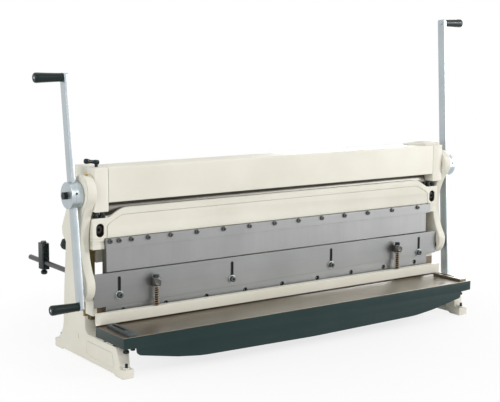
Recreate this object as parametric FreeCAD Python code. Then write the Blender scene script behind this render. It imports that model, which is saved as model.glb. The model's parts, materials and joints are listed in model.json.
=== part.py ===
import FreeCAD, Part
import math
import os

# Combination sheet-metal machine: shear, press brake and slip roll on two cast end frames.
# X runs along the rolls (+X is the right hand of someone at the table), Y runs to the back,
# Z is up. The origin lies on the floor, midway between the four foot bolt holes.
# All lengths are millimetres.

V = FreeCAD.Vector

# overall
WORK_W = 1320.0           # clear width between the two heads, 52 in
HALF_W = WORK_W / 2
FRAME_IN = HALF_W + 4.6   # inner face of an end frame
FRAME_T = 38.0            # thickness of an end frame
FRAME_OUT = FRAME_IN + FRAME_T
FRAME_MID = FRAME_IN + FRAME_T / 2
SIDE_GAP = 4.4            # frame to link, sideways
FIT = 0.1                 # radial clearance of a shaft in its bore
SLIDE_FIT = 1.0           # clearance of a tongue in its groove
OVERRUN = 5.0             # how far a cutting tool runs past the face that it opens

# feet
FOOT_HALF = 224.0
FOOT_TOP = 88.0
FOOT_BOLT_Y = FOOT_HALF - 12.0
FOOT_BOLT_R = 6.5
PAD_H = 27.0
PAD_LEN = 23.0
PAD_SOLE = 48.0           # length of the sole that stands on the floor

# head and top beam
HEAD_BOT = 469.5
HEAD_TOP = 601.0
HEAD_FRONT = -73.4
HEAD_BACK = 62.0
HEAD_SIDE = 3.6           # the head is this much wider than the frame, each side
NECK_FRONT = -30.0        # front edge of the frame under the head
COLUMN_FRONT = 13.0       # front edge of the frame behind the moving beam
PANEL_SINK = 1.2          # depth of the shallow panel on the foot's outer side
CORE_DEPTH = 22.0         # depth of the pockets on the frame's inner side
COVER_BOT = 496.3
COVER_WALL = 10.0
COVER_BACK = 18.0

# crank shaft, which is also the upper slip roll
CRANK_Y, CRANK_Z = -31.0, 521.0
ROLL_R = 25.0
ROLL_HALF = HALF_W - 5.0
SHAFT_R = 16.0
ECC = 11.0                # throw of the eccentrics
ECC_R = 28.5
ECC_W = 22.0
STROKE_ANGLE = 120.0
STROKE = 2.0 * ECC * math.sin(math.radians(STROKE_ANGLE / 2.0))

# links between the eccentrics and the moving beam
LINK_IN = FRAME_OUT + SIDE_GAP
LINK_T = 31.0
LINK_OUT = LINK_IN + LINK_T
EYE_R = 50.0
EYE_PLAY = 1.0
EYE_BORE = ECC_R + ECC / 4.0 + EYE_PLAY
EYE_Y = CRANK_Y - 0.75 * ECC
EYE_Z = CRANK_Z + STROKE / 2.0
CHEEK = 6.0               # closed outer cheek of the eye
LOBE_Y, LOBE_Z = -20.0, 247.0
LOBE_R = 52.0
WAIST_FRONT_R = 186.0     # hollow curve along the front of the link
WAIST_BACK_R = 700.0
LINK_EDGE = 3.0           # bevel round the outer face
PIN_Y, PIN_Z = -40.0, 229.0
PIN_R = 14.0
SPIGOT_R = 8.5            # the end of the pin that sits in the moving beam
SPIGOT_L = 28.0

# handle bars
HUB_R = 40.0
HUB_L = 37.5
HUB_IN = LINK_OUT + 1.5
HUB_OUT = HUB_IN + HUB_L
BAR_T = 12.7
BAR_W = 31.75
BAR_X = HUB_IN + HUB_L / 2
GRIP_L = 90.0
GRIP_R = 15.5
BAR_SPECS = {             # side: (tilt to the back, length above the shaft, length below it)
    -1: (6.8, 357.0, 341.0),
    1: (3.45, 531.0, 469.0),
}
BAR_END = 12.0            # grip axis to the end of the bar
BOLT_AF = 21.0            # across the flats of the hub bolt
BOLT_H = 12.0

# slip rolls
LOW_Y, LOW_Z = -14.0, 473.0
LOW_JOURNAL = 10.0
REAR_Y, REAR_Z = 72.0, 480.0
REAR_JOURNAL = 10.0
REAR_LIFT = 18.0
SCREW_DIR = V(0.0, -0.573, 0.8195)
SCREW_R = 7.0
KNOB_R = 17.0
KNOB_H = 29.0
KNOB_Y, KNOB_Z = 172.0, 337.0
LEVER_X = -FRAME_MID
BLOCK_W = 30.0
BLOCK_L = 30.0

# fixed finger beam
BEAM_FRONT = -54.0
BEAM_WALL = 9.0
BEAM_FLOOR = 16.0
BEAM_BACK = 22.0
BEAM_HALF = FRAME_OUT + 1.4
BEAM_BOT = 386.0
BEAM_TOP = 476.0
BEAM_END_TOP = 448.0
SHOULDER_OUT = FRAME_IN - 11.6
SHOULDER_IN = SHOULDER_OUT - 47.0
BORDER = 22.0             # width of the raised border along the top
BORDER_H = 1.5
REAR_WALL_T = 14.0
REAR_WALL_BOT = 302.0
POCKET_W, POCKET_H = 26.0, 41.0
POCKET_DEEP = 21.0
CLAMP_FRONT = -62.0
CLAMP_T = 12.0
CLAMP_BACK = CLAMP_FRONT + CLAMP_T
CLAMP_BOT = 354.0
CLAMP_HALF = FRAME_IN + 0.4
SEAT_STEPS = [8.0, 8.0, 16.0]      # heights of the stepped packings, from the beam down
FINGER_T = 10.0
FINGER_FRONT = -44.3
FINGER_BACK = FINGER_FRONT + FINGER_T
FINGER_TIP = 276.0
FINGER_SLOPE = 30.0       # height of the bevelled tip
FINGER_HALF = HALF_W + 5.0
FINGER_WIDTHS = [25, 36, 48, 69, 91, 100, 102, 101, 101, 99, 100, 101, 110, 118, 129]
FINGER_GAP = 0.4

# moving beam with its front plate and upper blade
PLATE_FRONT = -54.3
PLATE_T = 5.0
PLATE_HALF = BEAM_HALF
PLATE_TOP = 280.0
PLATE_BOT_L, PLATE_BOT_R = 177.0, 200.0
SLOT_PITCH = PLATE_HALF * 0.5858
SLOT_W = 11.0
SLOT_TOP = PLATE_TOP - 14.0
SLOT_UP_L, SLOT_UP_R = 17.8, 4.0    # foot of the slots above the raked edge, at each end
RAM_HALF = FRAME_OUT - 0.6
RAM_BACK = 8.0
RAM_BOT = 150.0
RAM_TOP = 262.0
RAM_WALL = 17.0
FLANGE_T = 16.0
RIB_T = 8.0
VEE_BACK = FINGER_FRONT + 18.3
BLADE_HALF = FRAME_IN - 1.6
BLADE_T = 10.0
BLADE_LOW_L, BLADE_LOW_R = 134.0, 142.0
BLADE_PITCH = BLADE_HALF * 0.2274
HOLE_Z_L, HOLE_Z_R = 159.0, 174.5  # height of the first and the last screw hole
HOLE_R = 8.0
SHEAR_Y = -50.0
SHEAR_GAP = 0.3

# hold-down bar
HOLD_HALF = FRAME_OUT + 2.4
HOLD_FRONT = -81.8
HOLD_BACK = -60.0
HOLD_BOT = 131.5
HOLD_TOP = 164.0
HOLD_X = HALF_W * 0.756
HOLD_Y = (HOLD_FRONT + HOLD_BACK) / 2
LUG_R = 14.5
LUG_NECK = 22.0           # width of the lug where it joins the plate
LUG_BOT, LUG_TOP = 226.0, 250.0
SPRING_R = 9.0
WIRE = 2.2
COILS = 3
HOLD_SCREW_R = 5.0
HOLD_SINK = 17.0          # thread of the screw inside the bar

# table
TABLE_HALF = HOLD_HALF
TABLE_TOP = 126.3
TABLE_FRONT = -235.5
TABLE_T = 18.0
TABLE_BOT = 93.3
SKIRT_T = 12.0
SKIRT = [(0.93, 69.0), (0.74, 44.0), (0.62, 34.0)]   # share of half the width, height
TABLE_RIBS = 5
BLADE_SEAT = 12.0         # thickness of the lower blade
LOWER_BLADE_H = 46.0
TABLE_SEATS = [(66.0 - FOOT_HALF, 106.0 - FOOT_HALF), (-104.0, -70.0)]   # where the table stands on the feet
GUIDE_W, GUIDE_L, GUIDE_T = 30.0, 136.0, 9.0

# back gauge
ROD_X = FRAME_IN - 12.6
ROD_Z = 237.0
ROD_R = 8.5
ROD_SINK = 14.0
ROD_END = 512.0
GAUGE_Y = 406.0
GAUGE_W, GAUGE_L = 25.0, 38.0
GAUGE_BOT, GAUGE_TOP = 214.0, 302.0
THUMB_R, THUMB_H = 11.0, 19.0


def prism(points, axis, lo, hi):
    """Extrude a closed outline. Its points are the two remaining axes in X, Y, Z order."""
    out = []
    for a, b in points:
        out.append({"x": V(lo, a, b), "y": V(a, lo, b), "z": V(a, b, lo)}[axis])
    face = Part.Face(Part.makePolygon(out + [out[0]]))
    step = {"x": V(hi - lo, 0, 0), "y": V(0, hi - lo, 0), "z": V(0, 0, hi - lo)}[axis]
    return face.extrude(step)


def rounded(points, radii, axis, lo, hi):
    """Extrude an outline whose corners are rounded, one radius for each corner."""
    n = len(points)
    edges = []
    cuts = []
    for i in range(n):
        p = V(points[i][0], points[i][1], 0)
        a = V(points[i - 1][0], points[i - 1][1], 0) - p
        b = V(points[(i + 1) % n][0], points[(i + 1) % n][1], 0) - p
        a.normalize()
        b.normalize()
        r = radii[i]
        half = math.acos(max(-1.0, min(1.0, a.dot(b)))) / 2.0
        if r <= 0 or half > math.pi / 2.0 - 0.01:
            cuts.append((p, None, p))
            continue
        reach = r / math.tan(half)
        mid = a + b
        mid.normalize()
        centre = p + mid * (r / math.sin(half))
        cuts.append((p + a * reach, centre - mid * r, p + b * reach))
    def lift(q):
        return {"x": V(lo, q.x, q.y), "y": V(q.x, lo, q.y), "z": V(q.x, q.y, lo)}[axis]
    for i in range(n):
        start, bend, end = cuts[i]
        if bend is not None:
            edges.append(Part.Arc(lift(start), lift(bend), lift(end)).toShape())
        nxt = cuts[(i + 1) % n][0]
        if (nxt - end).Length > 1e-6:
            edges.append(Part.makeLine(lift(end), lift(nxt)))
    face = Part.Face(Part.Wire(edges))
    step = {"x": V(hi - lo, 0, 0), "y": V(0, hi - lo, 0), "z": V(0, 0, hi - lo)}[axis]
    return face.extrude(step)


def box(x0, x1, y0, y1, z0, z1):
    return Part.makeBox(x1 - x0, y1 - y0, z1 - z0, V(x0, y0, z0))


def rod(r, length, start, direction):
    return Part.makeCylinder(r, length, start, direction)


def along_x(r, x0, x1, y, z):
    """Round bar or bore along X between two stations."""
    return Part.makeCylinder(r, abs(x1 - x0), V(min(x0, x1), y, z), V(1, 0, 0))


def both(make):
    """Build a right-hand piece and its mirror image as one compound."""
    right = make()
    left = right.mirror(V(0, 0, 0), V(1, 0, 0))
    return Part.makeCompound([left, right])


def mirrored(shape):
    return shape.mirror(V(0, 0, 0), V(1, 0, 0))


def rake(x, left, right, half):
    return left + (right - left) * (x + half) / (2.0 * half)


def on_screw(t):
    """Point on the slanted adjusting screw, t millimetres above the knob."""
    return V(0, KNOB_Y, KNOB_Z) + SCREW_DIR * t


def tube_x(side, r, x0, x1, y, z):
    """Round bar or bore along X on one side of the machine, from x0 out to x1."""
    return along_x(r, side * x0, side * x1, y, z)


def tilt_to_screw(shape, y, z):
    """Lean a shape built upright on the origin along the adjusting screw, and move it."""
    shape.rotate(V(0, 0, 0), V(1, 0, 0), math.degrees(math.atan2(-SCREW_DIR.y, SCREW_DIR.z)))
    shape.translate(V(0, y, z))
    return shape


def hexagon(x, af, height):
    """Hexagonal head, its axis along X and its base at x."""
    r = af / 2.0 / math.cos(math.pi / 6.0)
    ring = [V(x, r * math.cos(k * math.pi / 3), r * math.sin(k * math.pi / 3)) for k in range(6)]
    return Part.Face(Part.makePolygon(ring + [ring[0]])).extrude(V(height, 0, 0))


def turned(profile):
    """Solid of revolution about Z from (radius, height) pairs."""
    ring = [V(r, 0, z) for r, z in profile]
    return Part.Face(Part.makePolygon(ring + [ring[0]])).revolve(V(0, 0, 0), V(0, 0, 1), 360)


# end frames

def frame_outline():
    """Outline of an end frame and the radius of each corner, front foot first."""
    toe, heel = -FOOT_HALF + PAD_LEN, FOOT_HALF - PAD_LEN
    foot = [(-FOOT_HALF, 0), (-FOOT_HALF, PAD_H), (toe, PAD_H), (toe + 7, 64),
            (toe + 20, FOOT_TOP)]
    upper = [(COLUMN_FRONT, FOOT_TOP), (COLUMN_FRONT, 336), (NECK_FRONT, CLAMP_BOT + 3),
             (NECK_FRONT, HEAD_BOT), (HEAD_FRONT, HEAD_BOT), (HEAD_FRONT, HEAD_TOP),
             (HEAD_BACK, HEAD_TOP), (72, 570), (127, 457), (160, 398), (159, 372), (134, 354),
             (149, 229), (heel - 39, 80)]
    sole = FOOT_HALF - PAD_SOLE
    back = [(heel - 17, 44), (heel, PAD_H + 1), (FOOT_HALF, PAD_H + 1), (FOOT_HALF, 0),
            (sole, 0), (sole - 8, 5), (8 - sole, 5), (-sole, 0)]
    radii = ([0, 0, 8, 30, 12] + [22, 16, 6, 0, 0, 4, 12, 12, 30, 14, 14, 14, 200, 30]
             + [20, 8, 0, 0, 0, 0, 0, 0])
    return foot + upper + back, radii


def end_frame():
    pts, radii = frame_outline()
    body = rounded(pts, radii, "x", FRAME_IN, FRAME_OUT)
    # shallow panel on the outer side of the foot, and the slot of its levelling screw
    toe, heel = 52 - FOOT_HALF, FOOT_HALF - 90
    panel = rounded([(toe, 22), (toe + 12, 66), (4, 66), (4, 22)], [8, 10, 10, 8],
                    "x", FRAME_OUT - PANEL_SINK, FRAME_OUT + OVERRUN)
    body = body.cut(panel)
    slot = rounded([(54, 61), (60, 61), (62, 74), (56, 74)], [2.9, 2.9, 2.9, 2.9],
                   "x", FRAME_OUT - 8, FRAME_OUT + OVERRUN)
    body = body.cut(slot)
    # the head is a thicker block
    head = rounded([(HEAD_FRONT, HEAD_BOT), (HEAD_FRONT, HEAD_TOP), (HEAD_BACK, HEAD_TOP),
                    (72, 570), (60, 500), (10, HEAD_BOT)], [0, 4, 12, 12, 0, 0],
                   "x", FRAME_IN - HEAD_SIDE, FRAME_OUT + HEAD_SIDE - 0.6)
    body = body.fuse(head)
    # cored pockets on the inner side leave a web and a rim
    web = FRAME_IN + CORE_DEPTH
    column = rounded([(32, 108), (heel + 4, 108), (127, 229), (120, 330), (100, 372), (20, 430),
                      (-10, 430), (-10, 376), (32, 340)],
                     [10, 10, 0, 0, 14, 10, 10, 10, 10], "x", FRAME_IN - OVERRUN, web)
    foot = rounded([(toe + 12, 22), (toe + 24, 72), (heel - 10, 72), (heel, 22)], [8, 12, 12, 8],
                   "x", FRAME_IN - OVERRUN, web)
    body = body.cut(column).cut(foot)
    # seats for the table
    for y0, y1 in TABLE_SEATS:
        body = body.fuse(box(FRAME_IN + 3, FRAME_OUT - 4, y0, y1, FOOT_TOP - 2, TABLE_BOT))
    # bores for the crank shaft and the lower roll
    reach = HEAD_SIDE + OVERRUN
    body = body.cut(along_x(SHAFT_R + FIT, FRAME_IN - reach, FRAME_OUT + reach, CRANK_Y, CRANK_Z))
    body = body.cut(along_x(LOW_JOURNAL + FIT, FRAME_IN - reach, FRAME_OUT - 8, LOW_Y, LOW_Z))
    # slanted window for the rear roll's bearing block, and the bore of its screw
    half = BLOCK_W / 2 + FIT
    window = box(FRAME_IN - reach, FRAME_OUT + reach, -half, half,
                 -BLOCK_L / 2 - 2, BLOCK_L / 2 + REAR_LIFT + 3)
    body = body.cut(tilt_to_screw(window, REAR_Y, REAR_Z))
    body = body.cut(rod(SCREW_R + FIT, 200, on_screw(0) + V(FRAME_MID, 0, 0), SCREW_DIR))
    # foot bolt holes
    for y in (-FOOT_BOLT_Y, FOOT_BOLT_Y):
        body = body.cut(rod(FOOT_BOLT_R, PAD_H + 40, V(FRAME_MID, y, -1), V(0, 0, 1)))
    return body.removeSplitter()


def roll_cap():
    """Arched cap over the bearing of the right head, drawn out to a narrow nose inboard."""
    start, nose, rise = SHOULDER_IN - 16, 44.0, 14.0
    front, back = HEAD_FRONT + 7, COVER_BACK

    def arch(x, face, height):
        bend = Part.Arc(V(x, face, HEAD_TOP), V(x, (face + back) / 2, HEAD_TOP + height),
                        V(x, back, HEAD_TOP)).toShape()
        base = Part.makeLine(V(x, back, HEAD_TOP), V(x, face, HEAD_TOP))
        return Part.Wire([bend, base])

    cap = Part.Face(arch(start + nose, front, rise))
    cap = cap.extrude(V(FRAME_OUT - start - nose, 0, 0))
    tip = Part.makeLoft([arch(start, back - 26, 3.0), arch(start + nose, front, rise)], True, True)
    return cap.fuse(tip).removeSplitter()


# top beam

def top_beam():
    """Angle-shaped cover in front of and above the rolls, open to the back."""
    wall = HEAD_FRONT + COVER_WALL
    plate = HEAD_TOP - COVER_WALL - 1
    return rounded([(HEAD_FRONT, COVER_BOT), (HEAD_FRONT, HEAD_TOP), (COVER_BACK, HEAD_TOP),
                    (COVER_BACK, plate), (wall, plate), (wall, COVER_BOT)],
                   [3, 5, 4, 0, 12, 2], "x", -HALF_W, HALF_W)


# finger beam

def finger_beam():
    top = [(-BEAM_HALF, BEAM_BOT), (-BEAM_HALF, BEAM_END_TOP), (-SHOULDER_OUT, BEAM_END_TOP),
           (-SHOULDER_IN, BEAM_TOP), (SHOULDER_IN, BEAM_TOP), (SHOULDER_OUT, BEAM_END_TOP),
           (BEAM_HALF, BEAM_END_TOP), (BEAM_HALF, BEAM_BOT)]
    body = rounded(top, [0, 4, 16, 70, 70, 16, 4, 0], "y", BEAM_FRONT, NECK_FRONT)
    inner = FRAME_IN - 0.5
    floor = BEAM_BOT + BEAM_FLOOR
    wall = BEAM_FRONT + BEAM_WALL
    # hollow behind the front wall, open to the back and the top, over a broad floor
    body = body.cut(box(-inner, inner, wall, NECK_FRONT + OVERRUN, floor, BEAM_TOP + OVERRUN))
    body = body.fuse(box(-inner, inner, wall + 5, BEAM_BACK, BEAM_BOT, floor))
    for k in range(-2, 3):
        x = k * WORK_W * 0.19
        rib = prism([(wall - 1, floor - 2), (wall - 1, floor + 40), (wall + 6, floor + 34),
                     (BEAM_BACK - 4, floor - 2)], "x", x - RIB_T / 2, x + RIB_T / 2)
        body = body.fuse(rib)
    # back wall that the fingers are clamped to
    body = body.fuse(box(-inner, inner, FINGER_BACK, FINGER_BACK + 16, CLAMP_BOT + 2,
                         BEAM_BOT + 4))
    # rear wall that hangs down behind the fingers
    body = body.fuse(box(-inner, inner, BEAM_BACK - REAR_WALL_T, BEAM_BACK, REAR_WALL_BOT,
                         BEAM_BOT + 4))
    # raised border along the top and shoulders, fading out towards the lower edge
    low, high, end = BEAM_BOT - OVERRUN, BEAM_TOP - BORDER, SHOULDER_OUT + 4
    sunk = rounded([(-end, low), (-end, BEAM_END_TOP - BORDER), (-SHOULDER_IN, high),
                    (SHOULDER_IN, high), (end, BEAM_END_TOP - BORDER), (end, low)],
                   [0, 12, 40, 40, 12, 0], "y", BEAM_FRONT - 2 * OVERRUN, BEAM_FRONT)
    fade = math.degrees(math.atan(BORDER_H / (high - low)))
    sunk.rotate(V(0, BEAM_FRONT, low), V(1, 0, 0), -fade)
    body = body.cut(sunk)
    w, h = POCKET_W / 2, POCKET_H / 2
    z = (BEAM_BOT + BEAM_END_TOP) / 2 - 5.5
    for side in (-1, 1):
        x = side * (BEAM_HALF - 24)
        slot = rounded([(x - w, z - h), (x + w, z - h), (x + w, z + h), (x - w, z + h)],
                       [w - 0.1] * 4, "y", BEAM_FRONT - OVERRUN, BEAM_FRONT + POCKET_DEEP)
        body = body.cut(slot)
    return body.removeSplitter()


def beam_seat():
    """Stepped packing pieces under one end of the finger beam."""
    x0, x1 = CLAMP_HALF + 0.6, BEAM_HALF
    z = BEAM_BOT
    pack = None
    for k, (height, back_set) in enumerate(zip(SEAT_STEPS, (2, 5, 3))):
        step = box(x0 + k % 2, x1 - k % 2, BEAM_FRONT + back_set, NECK_FRONT, z - height, z)
        pack = step if pack is None else pack.fuse(step)
        z -= height
    return pack.removeSplitter()


def adjuster():
    """Height adjuster between the head and one end of the finger beam."""
    gap = HEAD_BOT - BEAM_END_TOP
    nut = hexagon(0, 17, 8)
    nut.rotate(V(0, 0, 0), V(0, 1, 0), -90)
    body = nut.fuse(rod(6.0, gap, V(0, 0, 0), V(0, 0, 1))).removeSplitter()
    body.translate(V(FRAME_MID + 5, (BEAM_FRONT + NECK_FRONT) / 2, BEAM_END_TOP))
    return body


def clamp_strip():
    body = box(-CLAMP_HALF, CLAMP_HALF, CLAMP_FRONT, CLAMP_BACK, CLAMP_BOT, BEAM_BOT - 0.5)
    lip = box(-CLAMP_HALF, CLAMP_HALF, CLAMP_BACK - 1, FINGER_BACK - 0.2, BEAM_BOT - 6,
              BEAM_BOT - 0.5)
    return body.fuse(lip).removeSplitter()


def fingers():
    """Wedge-shaped brake fingers whose faces carry on the plane of the clamp strip."""
    tongue = CLAMP_BACK + 0.2
    nose = PLATE_FRONT + PLATE_T + 1.2
    profile = [(tongue, BEAM_BOT - 7), (tongue, CLAMP_BOT - 0.4),
               (CLAMP_FRONT + 0.3, CLAMP_BOT - 0.4), (nose, PLATE_TOP + 2),
               (FINGER_FRONT + 1, FINGER_TIP), (FINGER_FRONT + 3, FINGER_TIP),
               (FINGER_BACK, FINGER_TIP + FINGER_SLOPE), (FINGER_BACK, BEAM_BOT - 7)]
    scale = 2 * FINGER_HALF / sum(FINGER_WIDTHS)
    x = -FINGER_HALF
    out = []
    for width in FINGER_WIDTHS:
        out.append(prism(profile, "x", x + FINGER_GAP / 2, x + width * scale - FINGER_GAP / 2))
        x += width * scale
    return Part.makeCompound(out)


# crank

def crank_shaft():
    """Upper roll, its journals and the two eccentrics in one piece."""
    body = along_x(ROLL_R, -ROLL_HALF, ROLL_HALF, CRANK_Y, CRANK_Z)
    end = BAR_X - BAR_T / 2 - 1.0
    body = body.fuse(along_x(SHAFT_R, -end, end, CRANK_Y, CRANK_Z))
    a = math.radians(STROKE_ANGLE / 2.0)
    ey, ez = CRANK_Y - ECC * math.cos(a), CRANK_Z + ECC * math.sin(a)
    for side in (-1, 1):
        x0 = LINK_IN + 1.5
        body = body.fuse(tube_x(side, ECC_R, x0, x0 + ECC_W, ey, ez))
    return body.removeSplitter()


def bar_dir(side):
    a = math.radians(BAR_SPECS[side][0])
    return V(0, math.sin(a), math.cos(a))


def placed_on_crank(shape, side):
    """Take a right-hand piece built round the X axis to its side and tilt, on the crank."""
    if side < 0:
        shape = mirrored(shape)
    shape.rotate(V(0, 0, 0), V(1, 0, 0), -BAR_SPECS[side][0])
    shape.translate(V(0, CRANK_Y, CRANK_Z))
    return shape


def hub(side):
    """Clamping hub, slotted for the flat bar and bored for the shaft."""
    body = along_x(HUB_R, HUB_IN, HUB_OUT, 0, 0)
    rim = [e for e in body.Edges if e.Closed and abs(e.BoundBox.XMax - HUB_OUT) < 0.01]
    body = body.makeChamfer(2.0, rim)
    t, w = BAR_T / 2 + FIT, BAR_W / 2 + FIT
    body = body.cut(box(BAR_X - t, BAR_X + t, -w, w, -HUB_R - OVERRUN, HUB_R + OVERRUN))
    body = body.cut(along_x(SHAFT_R + FIT / 2, HUB_IN - OVERRUN, BAR_X, 0, 0))
    return placed_on_crank(body, side)


def handle_bar(side):
    tilt, up, down = BAR_SPECS[side]
    bar = box(BAR_X - BAR_T / 2, BAR_X + BAR_T / 2, -BAR_W / 2, BAR_W / 2, -down, up)
    ends = [e for e in bar.Edges if e.BoundBox.XLength > BAR_T / 2]
    return placed_on_crank(bar.makeFillet(BAR_W / 5, ends), side)


def grip(side, s):
    """Tapered hand grip that stands out from the bar, s millimetres along it."""
    r, length = GRIP_R, GRIP_L
    body = turned([(0, 0), (r - 2.5, 0), (r, length - 7), (r - 5, length), (0, length)])
    body.rotate(V(0, 0, 0), V(0, 1, 0), 90)
    body.translate(V(BAR_X + BAR_T / 2, 0, s))
    return placed_on_crank(body, side)


def hub_bolt(side):
    """Head of the bolt that clamps the bar in the hub."""
    return placed_on_crank(hexagon(HUB_OUT, BOLT_AF, BOLT_H), side)


# links and moving beam

def bridge(eye, lobe, r, sign):
    """Hollow arc of radius r that leaves two circles as a tangent.

    Each circle is (y, z, radius), and sign is -1 for the front of the link and 1 for its
    back. The arc's centre lies r plus each radius away from the two centres."""
    (ya, za, ra), (yb, zb, rb) = eye, lobe
    gap = math.hypot(yb - ya, zb - za)
    uy, uz = (yb - ya) / gap, (zb - za) / gap
    along = ((r + ra) ** 2 - (r + rb) ** 2 + gap ** 2) / (2 * gap)
    across = math.sqrt((r + ra) ** 2 - along ** 2)
    cy = ya + uy * along - sign * uz * across
    cz = za + uz * along + sign * uy * across
    start = V(LINK_IN, ya + (cy - ya) * ra / (r + ra), za + (cz - za) * ra / (r + ra))
    end = V(LINK_IN, yb + (cy - yb) * rb / (r + rb), zb + (cz - zb) * rb / (r + rb))
    bow = (start + end) / 2 - V(LINK_IN, cy, cz)
    bow.normalize()
    return start, V(LINK_IN, cy, cz) + bow * r, end


def link():
    """Cast link: blind eye for the eccentric, curved waist and a lobe for the pin."""
    eye = (EYE_Y, EYE_Z, EYE_R)
    lobe = (LOBE_Y, LOBE_Z, LOBE_R)
    front = bridge(eye, lobe, WAIST_FRONT_R, -1)
    back = bridge(eye, lobe, WAIST_BACK_R, 1)
    crown = V(LINK_IN, EYE_Y, EYE_Z + EYE_R)
    sole = V(LINK_IN, LOBE_Y, LOBE_Z - LOBE_R)
    edges = [Part.Arc(front[0], front[1], front[2]), Part.Arc(front[2], sole, back[2]),
             Part.Arc(back[2], back[1], back[0]), Part.Arc(back[0], crown, front[0])]
    body = Part.Face(Part.Wire([e.toShape() for e in edges])).extrude(V(LINK_T, 0, 0))
    rim = [e for e in body.Edges if abs(e.BoundBox.XMin - LINK_OUT) < 0.01]
    body = body.makeChamfer(LINK_EDGE, rim)
    body = body.cut(along_x(EYE_BORE, LINK_IN - 1, LINK_OUT - CHEEK, EYE_Y, EYE_Z))
    # slot in the cheek, as high as the stroke, for the crank's journal
    r = SHAFT_R + 1
    slot = rounded([(CRANK_Y - r, CRANK_Z - r), (CRANK_Y + r, CRANK_Z - r),
                    (CRANK_Y + r, CRANK_Z + STROKE + r), (CRANK_Y - r, CRANK_Z + STROKE + r)],
                   [r - 0.1] * 4, "x", LINK_OUT - CHEEK - 1, LINK_OUT + 1)
    body = body.cut(slot)
    return body.cut(along_x(PIN_R + FIT / 2, LINK_IN - 1, LINK_OUT + 1, PIN_Y, PIN_Z))


def link_pin():
    pin = along_x(PIN_R, LINK_IN - 1.5, LINK_OUT + 1.5, PIN_Y, PIN_Z)
    return pin.fuse(along_x(SPIGOT_R, RAM_HALF - SPIGOT_L, LINK_IN, PIN_Y, PIN_Z))


def ram():
    """Moving beam: a cast channel with ribs, grooved at its ends for the guides."""
    face_y = PLATE_FRONT + PLATE_T
    low, blade_y = RAM_BOT, SHEAR_Y + BLADE_T
    wall = face_y + RAM_WALL
    ends = [(face_y, low), (face_y, RAM_TOP), (RAM_BACK, RAM_TOP), (RAM_BACK, low)]
    body = prism(ends, "x", -RAM_HALF, RAM_HALF)
    # the channel behind the front wall, between solid ends
    bays = 6
    inner = FRAME_IN - 26.6
    pitch = 2 * inner / bays
    for k in range(bays):
        a = -inner + k * pitch
        bay = box(a + RIB_T / 2, a + pitch - RIB_T / 2, wall, RAM_BACK + OVERRUN,
                  low + 18 + FLANGE_T, RAM_TOP - FLANGE_T)
        body = body.cut(bay)
    # the back is cut away under the lower flange
    body = body.cut(box(-inner, inner, -20, RAM_BACK + OVERRUN, low - OVERRUN, low + 18))
    # seat of the upper blade, under the raked edge of the front plate
    half = RAM_HALF + OVERRUN
    seat = prism([(-half, low - OVERRUN), (half, low - OVERRUN),
                  (half, rake(half, PLATE_BOT_L, PLATE_BOT_R, PLATE_HALF)),
                  (-half, rake(-half, PLATE_BOT_L, PLATE_BOT_R, PLATE_HALF))],
                 "y", face_y - OVERRUN, blade_y)
    body = body.cut(seat)
    groove = 8 + SLIDE_FIT
    for side in (-1, 1):
        mid = side * FRAME_MID
        body = body.cut(box(mid - groove, mid + groove, -6 - SLIDE_FIT, RAM_BACK + OVERRUN,
                            low - OVERRUN, RAM_TOP + OVERRUN))
        body = body.cut(tube_x(side, SPIGOT_R + FIT / 2, RAM_HALF - SPIGOT_L - 1,
                               RAM_HALF + OVERRUN, PIN_Y, PIN_Z))
        body = body.cut(rod(ROD_R + FIT / 2, ROD_SINK + OVERRUN,
                            V(side * ROD_X, RAM_BACK - ROD_SINK, ROD_Z), V(0, 1, 0)))
    return body.removeSplitter()


def guide():
    """Fixed tongue on the frame that the end of the moving beam runs on."""
    return box(FRAME_MID - 8, FRAME_MID + 8, -6, COLUMN_FRONT, RAM_BOT - 20, RAM_TOP + 6)


def vee_die():
    face_y = PLATE_FRONT + PLATE_T
    c = FINGER_FRONT + 2.0
    top = RAM_TOP + 8
    profile = [(face_y, RAM_TOP), (face_y, top), (c - 4, top), (c, top - 6), (c + 6, top),
               (VEE_BACK, top), (VEE_BACK, RAM_TOP)]
    return prism(profile, "x", -FINGER_HALF, FINGER_HALF)


def front_plate():
    pts = [(-PLATE_HALF, PLATE_BOT_L), (PLATE_HALF, PLATE_BOT_R), (PLATE_HALF, PLATE_TOP),
           (-PLATE_HALF, PLATE_TOP)]
    body = prism(pts, "y", PLATE_FRONT, PLATE_FRONT + PLATE_T)
    h = SLOT_W / 2
    for k in (-1.5, -0.5, 0.5, 1.5):
        x = k * SLOT_PITCH
        foot = rake(x, PLATE_BOT_L + SLOT_UP_L, PLATE_BOT_R + SLOT_UP_R, PLATE_HALF)
        slot = rounded([(x - h, foot), (x + h, foot), (x + h, SLOT_TOP),
                        (x - h, SLOT_TOP)], [h - 0.01] * 4, "y",
                       PLATE_FRONT - OVERRUN, PLATE_FRONT + PLATE_T + 1)
        body = body.cut(slot)
    return body


def upper_blade():
    lo = 0.4
    pts = [(-BLADE_HALF, BLADE_LOW_L), (BLADE_HALF, BLADE_LOW_R),
           (BLADE_HALF, rake(BLADE_HALF, PLATE_BOT_L, PLATE_BOT_R, PLATE_HALF) - lo),
           (-BLADE_HALF, rake(-BLADE_HALF, PLATE_BOT_L, PLATE_BOT_R, PLATE_HALF) - lo)]
    body = prism(pts, "y", SHEAR_Y, SHEAR_Y + BLADE_T)
    for k in range(-4, 5):
        x = k * BLADE_PITCH
        z = rake(x, HOLE_Z_L, HOLE_Z_R, 4 * BLADE_PITCH)
        body = body.cut(rod(HOLE_R, BLADE_T / 2, V(x, SHEAR_Y - 0.01, z), V(0, 1, 0)))
    return body


# hold-down

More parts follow.
